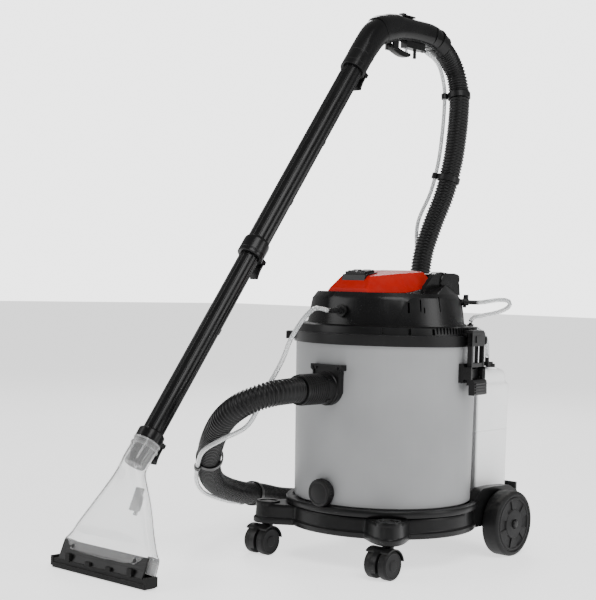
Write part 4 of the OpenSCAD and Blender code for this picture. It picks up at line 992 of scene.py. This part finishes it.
def makeHead():
    head = welded("headBody", "head_body")
    shoulders = []
    for s in (-1, 1):
        rings = [[Vector((s * a, y, z)) for a, z in ((0.055, 0.478), (0.098 - cut, 0.478),
                                                     (0.09 - cut, top - 0.002), (0.08 - cut, top), (0.055, top))]
                 for y, top, cut in ((-0.07, 0.4806, 0.01), (-0.03, 0.485, 0.002), (0.01, 0.493, 0.0),
                                     (0.036, 0.4962, 0.0))]
        shoulders.append(lofted("shoulder", rings))
    fins = [plated("fin", [(0.012, 0.482), (0.04, 0.4965), (0.04, 0.482)], s * 0.066 - 0.004, s * 0.066 + 0.004)
            for s in (-1, 1)]
    slots = []
    for side in (-1, 1):
        for phi, low, high, wide in headLook["slots"]:
            at = shifted(*around3(phi, 0.138, 0)) @ turnedBy(phi - 90, "Z")
            slot = boxed("slot", (-0.02, -wide / 2, low), (0.02, wide / 2, high), at)
            slots.append(placed(slot, Matrix.Scale(-1, 4, (1, 0, 0))) if side < 0 else slot)
    for cutter in (sidePanelCutter(-1), sidePanelCutter(1)):
        head = carved(head, [cutter])
    for slot in slots:
        head = carved(head, [slot])
    cheeks = []
    for s in (-1, 1):
        outline = [(-0.014, 0.478), (-0.01, 0.493), (0.014, 0.515), (0.022, 0.518), (0.078, 0.5185),
                   (0.086, 0.515), (0.094, 0.498), (0.097, 0.478)]
        cheeks.append(plated("cheek", outline, min(s * 0.0862, s * 0.0945), max(s * 0.0862, s * 0.0945)))
        cheeks.append(turned("disc", [(0, -0.004), (0.0178, -0.004), (0.0178, 0.0016), (0.0165, 0.003),
                                      (0, 0.0034)], 64,
                             shifted(s * 0.0945, 0.05, 0.501) @ turnedBy(90 * s, "Y")))
    head = joined("headBody", [head, *shoulders, *fins, *cheeks])
    settled(rounded(head, 0.0009), paint["headBlack"], ["head_body"])
    skirt = welded("headSkirt", "head_skirt")
    for phi in (36, 52, 68, -36, -52, -68):
        at = turnedBy(phi - 90, "Z")
        skirt = carved(skirt, [boxed("slot", (0.156, -0.0028, 0.409), (0.17, 0.0028, 0.4195), at)])
    fin = boxed("fin", (0.15, -0.0007, 0.4105), (0.1655, 0.0007, 0.4215))
    vents = [ringOf("vents", item, headLook["vents"], headLook["ventStep"], start) for item, start in
             ((fin, headLook["ventFrom"] - 90), (boxed("fin", (0.15, -0.0007, 0.4105), (0.1655, 0.0007, 0.4215)),
                                                 -90 - headLook["ventFrom"] - headLook["ventStep"] * 20))]
    skirt = joined("headSkirt", [skirt, *vents])
    settled(rounded(skirt, 0.0005), paint["satinBlack"], ["head_skirt"])
    print("head made")


# Half of each level of the cover, from the front corner to the back, as x, y, z.
coverLook = {"foot": 0.48, "edge": 0.0022, "pit": ((-0.0232, -0.0972, 0.5), (0.0232, -0.0668, 0.56)),
             "levels": [[(0.046, -0.116, 0.48), (0.082, -0.05, 0.482), (0.084, 0.028, 0.494)],
                        [(0.042, -0.1135, 0.487), (0.078, -0.049, 0.489), (0.08, 0.028, 0.5)],
                        [(0.032, -0.094, 0.508), (0.06, -0.04, 0.515), (0.06, 0.028, 0.519)],
                        [(0.02, -0.088, 0.511), (0.034, -0.04, 0.519), (0.034, 0.028, 0.5218)]]}


def makeCover():
    levels = coverLook["levels"]
    rings = []
    for level in [[(x, y, coverLook["foot"]) for x, y, z in levels[0]], *levels]:
        left, right = [Vector((-x, y, z)) for x, y, z in level], [Vector(p) for p in level]
        rings.append([left[0], *right, left[2], left[1]])
    cover = lofted("topCover", rings)
    cover = carved(cover, [boxed("pit", *coverLook["pit"])])
    settled(rounded(cover, coverLook["edge"], 3, 14), paint["coverRed"], ["top_cover"])
    plinth = plated("plinth", [(-0.101, 0.5), (-0.063, 0.5), (-0.064, 0.5165), (-0.098, 0.5115)], -0.0265, 0.0265)
    box = plated("box", [(-0.096, 0.5), (-0.068, 0.5), (-0.068, 0.5205), (-0.096, 0.5165)], -0.0225, 0.0225)
    wells = [boxed("well", (s * 0.011 - 0.0084, -0.0924, 0.505),
                   (s * 0.011 + 0.0084, -0.0716, 0.53)) for s in (-1, 1)]
    plinth = carved(plinth, [boxed("well", (-0.02, -0.0926, 0.507), (0.02, -0.0714, 0.54))])
    for well in wells:
        box = carved(box, [well])
    switchBox = joined("switchBox", [plinth, box])
    settled(rounded(switchBox, 0.0009), paint["headBlack"], ["switch_box"])
    print("cover made")


carryLook = {"hubX": 0.072, "armIn": 0.06, "armOut": 0.084, "pivot": (0.055, 0.505), "bar": (0.099, 0.508),
             "grips": 13, "gripPitch": 0.0058,
             # across, half width
             "widths": ((-0.084, 0.009), (-0.08, 0.0104), (-0.06, 0.0108), (-0.046, 0.0096),
                        (0.046, 0.0096), (0.06, 0.0108), (0.08, 0.0104), (0.084, 0.009))}


def makeCarryHandle():
    parts = []
    (pivotY, pivotZ), (barY, barZ) = carryLook["pivot"], carryLook["bar"]
    for s in (-1, 1):
        x0, x1 = s * carryLook["armIn"], s * carryLook["armOut"]
        hub = turned("hub", [(0, -0.012), (0.0135, -0.012), (0.0155, -0.01), (0.0155, 0.0085), (0.0145, 0.01),
                             (0.0115, 0.01), (0.011, 0.0092), (0.0, 0.0092)], 64,
                     shifted(s * carryLook["hubX"], pivotY, pivotZ) @ turnedBy(90 * s, "Y"))
        pin = rod("pin", (s * 0.047, pivotY, pivotZ), (s * 0.065, pivotY, pivotZ), 0.004)
        arm = plated("arm", [(0.055, 0.499), (0.093, 0.499), (0.101, 0.502), (0.104, 0.508), (0.102, 0.5145),
                             (0.094, 0.517), (0.055, 0.52)], min(x0, x1), max(x0, x1))
        parts += [hub, pin, arm]
    bar = lofted("bar", [[Vector((x, barY + a, barZ + b)) for a, b in superRing(0.0108, wide, 2.6, 32)]
                         for x, wide in carryLook["widths"]])
    grips = rowOf("grips", boxed("grip", (-0.0365, 0.09, 0.498), (-0.0345, 0.108, 0.499)),
                  carryLook["grips"], (carryLook["gripPitch"], 0, 0))
    handle = joined("carryHandle", [*parts, bar, grips])
    settled(rounded(handle, 0.001), paint["headBlack"], ["carry_handle"])


makeHead()
makeCover()
makeCarryHandle()

# Inlet, cuffs and drain.
inletLook = {"x": 0.005, "z": 0.311, "cuffRibs": 8, "cuffPitch": 0.0056}
drainLook = {"place": (0, -0.1658, 0.128), "grips": 30}


def makeInlet():
    x, z = inletLook["x"], inletLook["z"]
    plate = welded("inletPlate", "inlet_plate")
    rim = plated("rim", [(-0.03, -0.006), (-0.03, 0.03), (-0.035, 0.034), (-0.035, 0.042), (0.035, 0.042),
                         (0.035, 0.034), (0.03, 0.03), (0.03, -0.006), (0.027, -0.006), (0.027, 0.031),
                         (0.0305, 0.0365), (0.0305, 0.0385), (-0.0305, 0.0385), (-0.0305, 0.0365), (-0.027, 0.031),
                         (-0.027, -0.006)], -0.1748, -0.1725, shifted(x, 0, z), axis="y")
    front = shifted(x, -0.172, z) @ turnedBy(90, "X")
    ring = turned("ring", [(0.0272, 0.001), (0.0292, 0.001), (0.0292, 0.0035), (0.028, 0.005), (0.0272, 0.005)], 72,
                  front, closedLoop=True)
    plate = joined("inletPlate", [plate, rim, ring])
    settled(rounded(plate, 0.0009), paint["satinBlack"], ["inlet_plate"])
    cuffs = welded("hoseCuffs", "hose_cuffs")
    rib = turned("rib", [(0.0256, 0.0), (0.027, 0.0004), (0.027, 0.0026), (0.0256, 0.003)], 64, closedLoop=True)
    ribs = placed(rowOf("ribs", rib, inletLook["cuffRibs"], (0, 0, inletLook["cuffPitch"])),
                  shifted(x, -0.197, z) @ turnedBy(90, "X"))
    lug = boxed("lug", (0.0255, -0.0035, 0.013), (0.0292, 0.0035, 0.022))
    lugs = placed(ringOf("lugs", lug, 4, start=45), front)
    cuffs = joined("hoseCuffs", [cuffs, ribs, lugs])
    settled(rounded(cuffs, 0.0005), paint["satinBlack"], ["hose_cuffs"])
    drainTurn = shifted(*drainLook["place"]) @ turnedBy(90, "X")
    cap = turned("drainCap", [(0, 0.012), (0.0178, 0.012), (0.0183, 0.0113), (0.0183, 0.0002), (0.0232, 0.0002),
                              (0.024, 0.001), (0.024, 0.0115), (0.0228, 0.0143), (0.0195, 0.015), (0.018, 0.0143),
                              (0.0165, 0.0143), (0.015, 0.015), (0, 0.0154)], 72,
                 drainTurn)
    grip = boxed("grip", (0.0235, -0.001, 0.0012), (0.0247, 0.001, 0.0118))
    grips = placed(ringOf("grips", grip, drainLook["grips"]), drainTurn)
    settled(rounded(joined("drainCap", [cap, grips]), 0.0005), paint["satinBlack"], ["drain_cap"])
    print("inlet and drain made")


makeInlet()

# Clean-water tank.
tankLook = {"neck": (-0.04, 0.218, 0.34), "dip": (0.092, 0.208, 0.34), "capGrips": 32,
            "half": 0.112, "back": 0.264, "hollow": 0.1775, "corner": 0.03,
            # height, pulled in by
            "levels": [(0.1015, 0.012), (0.103, 0.007), (0.106, 0.0038), (0.112, 0.002), (0.13, 0.0014),
                       (0.16, 0.0016), (0.2, 0.0012), (0.24, 0.001), (0.28, 0.0002), (0.302, 0.0),
                       (0.309, 0.0004), (0.312, 0.0022), (0.314, 0.004), (0.317, 0.0046), (0.326, 0.005),
                       (0.332, 0.0064), (0.3365, 0.0094), (0.339, 0.014), (0.34, 0.02)]}


def tankOutline(pull):
    half, back = tankLook["half"] - pull, tankLook["back"] - pull
    hollow, corner = tankLook["hollow"] + pull, tankLook["corner"]
    limit = half - 0.004
    front = []
    for i in range(25):
        x = -limit + 2 * limit * i / 24
        front.append((x, math.sqrt(hollow * hollow - x * x)))
    edge = math.sqrt(hollow * hollow - limit * limit)
    right = [(half - 0.0012, edge + 0.0012), (half, edge + 0.005)]
    arc = [(half - corner + corner * math.cos(a), back - corner + corner * math.sin(a))
           for a in [math.pi / 2 * k / 8 for k in range(9)]]
    flat = [(half - corner - 2 * (half - corner) * k / 8, back + 0.0) for k in range(1, 8)]
    mirror = [(-a, b) for a, b in reversed(arc)]
    left = [(-half, edge + 0.005), (-half + 0.0012, edge + 0.0012)]
    return front + right + arc + flat + mirror + left


def makeTank():
    rings = [[Vector((x, y, z)) for x, y in tankOutline(pull)] for z, pull in tankLook["levels"]]
    body = lofted("cleanTank", rings)
    neckHole = turned("neck", [(0, -0.006), (0.019, -0.006), (0.019, 0.03), (0, 0.03)], 64,
                      shifted(*tankLook["neck"]))
    body = carved(body, [neckHole])
    neck = turned("neck", [(0.019, -0.001), (0.022, -0.001), (0.022, 0.012), (0.019, 0.012)], 64,
                  shifted(*tankLook["neck"]), closedLoop=True)
    boss = turned("boss", [(0.0061, -0.001), (0.0125, -0.001), (0.0118, 0.0028), (0.0061, 0.0029)], 48,
                  shifted(*tankLook["dip"]), closedLoop=True)
    marks = rowOf("marks", boxed("mark", (0.07, 0.2625, 0.1395), (0.086, 0.2642, 0.1405)), 8, (0, 0, 0.022))
    seam = lofted("seam", [[Vector((x, y, z)) for x, y in tankOutline(pull)] for z, pull in
                           ((0.2228, 0.001), (0.2234, 0.0002), (0.2246, 0.0002), (0.2252, 0.001))])
    tank = joined("cleanTank", [body, neck, boss, marks, seam])
    settled(rounded(tank, 0.0006, 2, 45), paint["tankMilk"], ["clean_tank"])
    cap = turned("tankCap", [(0, 0.0124), (0.0223, 0.0124), (0.0223, 0.0), (0.0262, 0.0), (0.0268, 0.001),
                             (0.0264, 0.015), (0.025, 0.0172), (0.02, 0.018), (0.0185, 0.0172), (0, 0.0172)], 72,
                 shifted(-0.04, 0.218, 0.3404))
    grip = boxed("grip", (0.0258, -0.0011, 0.0015), (0.0274, 0.0011, 0.015))
    grips = placed(ringOf("grips", grip, tankLook["capGrips"]), shifted(-0.04, 0.218, 0.3404))
    settled(rounded(joined("tankCap", [cap, grips]), 0.0005), paint["satinBlack"], ["tank_cap"])
    print("tank made")


makeTank()

# Wheels and casters.
wheelLook = {"radius": 0.06, "width": 0.034, "x": 0.167, "axleY": 0.164, "spokes": 6}


def makeRearWheel(name, node, side):
    half, r = wheelLook["width"] / 2, wheelLook["radius"]
    place = shifted(side * wheelLook["x"], wheelLook["axleY"], r) @ turnedBy(90 * side, "Y")
    tyre = turned("tyre", [(0.0055, -half + 0.004), (0.045, -half + 0.004), (0.047, -half), (0.0555, -half),
                           (0.0588, -half + 0.002), (r, -half + 0.005), (r, half - 0.005), (0.0588, half - 0.002),
                           (0.0555, half), (0.052, half), (0.0508, half - 0.0018), (0.049, half - 0.0018),
                           (0.0478, half - 0.0004), (0.045, half - 0.0004), (0.044, half - 0.003),
                           (0.027, half - 0.0036), (0.0262, half - 0.0012), (0.025, half - 0.0006),
                           (0.009, half - 0.0002), (0.0085, half - 0.002), (0.0055, half - 0.002)], 96,
                  closedLoop=True)
    spoke = plated("spoke", [(0.026, -0.006), (0.0445, -0.012), (0.0445, 0.012), (0.026, 0.006)],
                   half - 0.0075, half - 0.0014, axis="z")
    spokes = ringOf("spokes", spoke, wheelLook["spokes"], finish="tyreRubber")
    nub = turned("nub", [(0, half - 0.0075), (0.0042, half - 0.0075), (0.0042, half - 0.0036), (0, half - 0.003)],
                 24,
                 shifted(0.035, 0, 0))
    nubs = ringOf("nubs", nub, wheelLook["spokes"], start=30, finish="tyreRubber")
    hub = turned("hub", [(0.0055, half - 0.004), (0.0072, half - 0.004), (0.0072, half + 0.0008),
                         (0.0055, half + 0.0008)],
                 40, closedLoop=True)
    tread = boxed("tread", (r - 0.0012, -0.0006, -half + 0.0055), (r - 0.0001, 0.0006, half - 0.0055))
    treads = ringOf("treads", tread, 72, finish="tyreRubber")
    wheel = placed(joined(name, [tyre, spokes, nubs, hub, treads]), place)
    settled(rounded(wheel, 0.0005), paint["tyreRubber"], [node])


def makeAxleCaps():
    rodPart = rod("axle", (-0.1865, 0.164, 0.06), (0.1865, 0.164, 0.06), 0.005)
    caps = [turned("cap", [(0, 0), (0.0068, 0), (0.0072, 0.0008), (0.006, 0.0026), (0, 0.0032)], 40,
                   shifted(s * 0.1849, 0.164, 0.06) @ turnedBy(90 * s, "Y")) for s in (-1, 1)]
    settled(rounded(joined("rearAxle", [rodPart, *caps]), 0.0004), paint["satinBlack"], ["rear_axle"])


makeRearWheel("rearWheelLeft", "rear_wheel_left", -1)
makeRearWheel("rearWheelRight", "rear_wheel_right", 1)
makeAxleCaps()
print("wheels made")

# Dolly ring and casters.
dollyLook = {"ring": 0.172, "collar": 0.176, "inside": 0.164, "ledge": 0.118, "casterAngle": 41.5,
             "lobeReach": 0.063,
             "lobeWidth": 13.5, "shelfX": 0.12, "shelfY": 0.272, "steps": 288}


def dollyRadius(phi):
    ring = dollyLook["ring"]
    off = abs(abs(phi) - dollyLook["casterAngle"]) / dollyLook["lobeWidth"]
    lobe = dollyLook["lobeReach"] * (1 - off * off) ** 1.5 if off < 1 else 0
    across, along = abs(math.sin(math.radians(phi))), -math.cos(math.radians(phi))
    if along > 0.3:
        shelf = min(dollyLook["shelfX"] / max(across, 0.001), dollyLook["shelfY"] / along)
        return max(ring, shelf)
    return ring + lobe


def makeDolly():
    look, rings = dollyLook, []
    for i in range(look["steps"]):
        phi = -180 + 360 * i / look["steps"]
        r = dollyRadius(phi)
        deck = 0.0925 if abs(phi) < 100 else 0.0985
        inner, ledge = look["inside"], look["ledge"]
        profile = [(inner, 0.057), (r - 0.006, 0.056), (r - 0.0005, 0.057), (r + 0.0012, 0.059),
                   (r + 0.0012, 0.066),
                   (r - 0.0012, 0.068), (r - 0.0022, 0.07), (r - 0.0032, deck - 0.006), (r - 0.0045, deck - 0.002),
                   (r - 0.008, deck), (max(r - 0.01, 0.1655), deck), (max(r - 0.011, 0.1652), deck + 0.0002),
                   (0.1652, deck + 0.0004), (0.165, 0.101), (inner, 0.101), (inner, 0.099), (ledge, 0.099),
                   (ledge, 0.09), (inner, 0.09)]
        rings.append([around3(phi, a, z) for a, z in profile])
    verts = [p for ring in rings for p in ring]
    n, m = len(rings), len(rings[0])
    faces = [(i * m + k, i * m + (k + 1) % m, (i + 1) % n * m + (k + 1) % m, (i + 1) % n * m + k)
             for i in range(n) for k in range(m)]
    body = facedOut(meshObject("chassisRing", verts, faces))
    collar = turned("collar", [(0.1642, 0.094), (0.1745, 0.094), (0.1762, 0.0962), (0.1762, 0.102),
                               (0.1745, 0.1048), (0.17, 0.106), (0.1642, 0.106)], 144, closedLoop=True)
    parts = [body, collar, boxed("lip", (-0.1185, 0.266, 0.058), (0.1185, 0.2715, 0.12))]
    for s in (-1, 1):
        stem = around3(s * look["casterAngle"], 0.21, 0)
        parts.append(turned("disc", [(0, 0.088), (0.0225, 0.088), (0.0225, 0.0935), (0.021, 0.0962),
                                     (0.0185, 0.0966),
                                     (0.0165, 0.0958), (0.0155, 0.0936), (0.0085, 0.0936), (0.0075, 0.095),
                                     (0, 0.0954)],
                            72, shifted(*stem)))
        parts.append(turned("socket", [(0.006, 0.058), (0.02, 0.058), (0.02, 0.09), (0.006, 0.09)], 48,
                            shifted(*stem), closedLoop=True))
        parts.append(plated("bracket", [(0.083, 0.057), (0.083, 0.104), (0.096, 0.118), (0.112, 0.1255),
                                        (0.15, 0.1265), (0.2, 0.124), (0.226, 0.112), (0.236, 0.096),
                                        (0.236, 0.057)], min(s * 0.128, s * 0.1478), max(s * 0.128, s * 0.1478)))
    ring = joined("chassisRing", parts)
    settled(rounded(ring, 0.0008, 2, 42), paint["satinBlack"], ["chassis_ring"])
    halfWheel = [(0, 0.0231), (0.0031, 0.0231), (0.0031, 0.007), (0.0235, 0.007), (0.025, 0.0085), (0.025, 0.0198),
                 (0.024, 0.0214), (0.0208, 0.0232), (0.02, 0.0226), (0.0192, 0.0222), (0.01, 0.0222),
                 (0.009, 0.0236), (0, 0.024)]
    for s, label in ((-1, "Left"), (1, "Right")):
        place = shifted(s * 0.13915, -0.17128, 0.025)
        wheels = [turned("wheel", halfWheel, 72, place @ turnedBy(90 * m, "Y")) for m in (-1, 1)]
        pair = joined("casterWheels" + label, wheels)
        settled(rounded(pair, 0.0005), paint["tyreRubber"], ["caster_wheels_" + label.lower()])
    print("dolly made")


makeDolly()

# Latches.
latchLook = {"turn": 10, "half": 0.027, "ribs": 4}


def makeLatches():
    half = latchLook["half"]
    turn = turnedBy(latchLook["turn"], "Z")
    for s, label in ((-1, "Left"), (1, "Right")):
        place = Matrix.Scale(s, 4, (1, 0, 0)) @ turn
        arms = [boxed("arm", (0.1768, m * 0.024 - 0.003, 0.353), (0.1848, m * 0.024 + 0.003, 0.413))
                for m in (-1, 1)]
        frameParts = arms + [boxed("bar", (0.1768, -half, 0.353), (0.1842, half, 0.36)),
                             boxed("panel", (0.1768, -half, 0.39), (0.1852, half, 0.4145)),
                             boxed("hook", (0.173, -0.025, 0.413), (0.1842, 0.025, 0.4175)),
                             boxed("tab", (0.185, -0.012, 0.396), (0.1868, 0.012, 0.408))]
        bail = joined("latchBail" + label, [welded("bail", "latch_bail_" + label.lower()),
                                            placed(joined("frame", frameParts), place)])
        settled(rounded(bail, 0.0008), paint["satinBlack"], ["latch_bail_" + label.lower()])
        block = plated("block", [(0.18, 0.304), (0.1905, 0.304), (0.1915, 0.306), (0.1905, 0.328), (0.188, 0.331),
                                 (0.18, 0.331)], -half, half, axis="y")
        ribs = rowOf("ribs", boxed("rib", (0.19, -0.0235, 0.3075), (0.1928, 0.0235, 0.31)), latchLook["ribs"],
                     (0, 0, 0.005))
        lever = joined("latchLever" + label, [welded("lever", "latch_lever_" + label.lower()),
                                              placed(joined("grip", [block, ribs]), place)])
        settled(rounded(lever, 0.0007), paint["satinBlack"], ["latch_lever_" + label.lower()])
    print("latches made")


makeLatches()

# The other CAD shapes: welded copies with rounded edges.
plainCopies = {
    "satinBlack": ["chassis_ring", "caster_hood_left", "caster_hood_right", "rim_band", "drain_spout", "drain_cap",
                   "inlet_plate", "latch_bases", "latch_lever_left", "latch_lever_right", "latch_bail_left",
                   "latch_bail_right", "head_skirt", "rocker_vacuum", "rocker_pump", "pump_barb", "float_cage",
                   "line_fittings", "tank_fitting", "tank_cap", "nozzle_holder", "spray_tip", "hose_cuffs",
                   "hose_clips", "cover_screws"],
    "headBlack": ["head_body", "switch_box", "carry_handle"],
    "wandBlack": ["wand_lower", "wand_upper", "lock_lever_low", "lock_lever_mid", "lock_lever_top",
                  "handle_shell_left", "handle_shell_right", "trigger", "valve_body", "air_slide"],
    "drumGrey": ["drum"], "coverRed": ["top_cover"], "tankMilk": ["clean_tank"], "clearShell": ["nozzle_body"],
    "plainSteel": ["rear_axle", "caster_axle_left", "caster_axle_right", "valve_plunger"],
    "lipRubber": ["nozzle_lip", "head_gasket"],
    "tyreRubber": ["rear_wheel_left", "rear_wheel_right", "caster_wheels_left", "caster_wheels_right"],
    "motorMetal": ["motor_housing", "motor_rotor", "pump_body"], "floatCream": ["float_cup"]}
edgeWidth = {"drum": 0.0012, "head_body": 0.0012, "top_cover": 0.0014, "clean_tank": 0.004, "chassis_ring": 0.0012,
             "nozzle_body": 0.0008, "handle_shell_left": 0.0022, "handle_shell_right": 0.0022,
             "carry_handle": 0.0025, "cover_screws": 0.0003, "valve_plunger": 0.0003}


def camelName(node):
    first, *rest = node.split("_")
    return first + "".join(word.capitalize() for word in rest)


madeNodes = {n for o in bpy.data.objects for n in o.get("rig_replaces", [])}
for finish, group in plainCopies.items():
    for node in group:
        if node not in madeNodes:
            copy = rounded(welded(camelName(node), node), edgeWidth.get(node, 0.0007))
            settled(copy, paint[finish], [node])
print("copies made")

# Floor and light.
stageLook = {"floor": (0.93, 0.93, 0.93), "size": 40.0, "air": 0.34, "seen": 3.4, "glow": 1.25}
lamps = {"key": {"place": (1.6, -1.0, 2.6), "aim": (0, 0, 0.3), "size": 1.6, "watts": 55},
         "fill": {"place": (-2.0, -2.2, 1.5), "aim": (-0.1, 0, 0.4), "size": 2.0, "watts": 38},
         "rim": {"place": (-1.8, 2.2, 2.4), "aim": (0, 0, 0.5), "size": 1.4, "watts": 40},
         "side": {"place": (2.4, 0.9, 1.1), "aim": (0.1, 0.2, 0.25), "size": 1.2, "watts": 24}}


def makeStage():
    half = stageLook["size"] / 2
    floor = meshObject("floor", [(-half, -half, 0), (half, -half, 0), (half, half, 0), (-half, half, 0)],
                       [(0, 1, 2, 3)])
    material = bpy.data.materials.new("floorPaint")
    material.use_nodes = True
    tree = material.node_tree
    shader = tree.nodes["Principled BSDF"]
    here = (tree.nodes.new("ShaderNodeTexCoord"), "Object")
    grain = grouped(tree, grainGroup, Vector=here, Grain_Scale=300.0, Patch_Scale=1.5)
    colour = opaque(stageLook["floor"])
    tone = blended(tree, (grain, "Patch"), colour, tuple(min(1, c * 1.03) for c in colour))
    tree.links.new(tone[0].outputs[tone[1]], shader.inputs["Base Color"])
    shader.inputs["Roughness"].default_value = 0.42
    shader.inputs["Emission Color"].default_value = (1, 1, 1, 1)
    shader.inputs["Emission Strength"].default_value = stageLook["glow"]
    floor.data.materials.append(material)
    world = bpy.data.worlds.new("studio")
    bpy.context.scene.world = world
    world.use_nodes = True
    back = world.node_tree.nodes["Background"]
    back.inputs["Color"].default_value = (1, 1, 1, 1)
    ray = world.node_tree.nodes.new("ShaderNodeLightPath")
    seen = ranged(world.node_tree, (ray, "Is Camera Ray"), 0.0, 1.0, stageLook["air"], stageLook["seen"])
    world.node_tree.links.new(seen[0].outputs[0], back.inputs["Strength"])
    for name, lamp in lamps.items():
        light = bpy.data.lights.new(name, "AREA")
        light.shape, light.size, light.energy = "SQUARE", lamp["size"], lamp["watts"]
        obj = bpy.data.objects.new(name, light)
        bpy.context.scene.collection.objects.link(obj)
        obj.location = lamp["place"]
        obj.rotation_euler = (Vector(lamp["aim"]) - obj.location).to_track_quat("-Z", "Y").to_euler()


makeStage()
print("stage set")
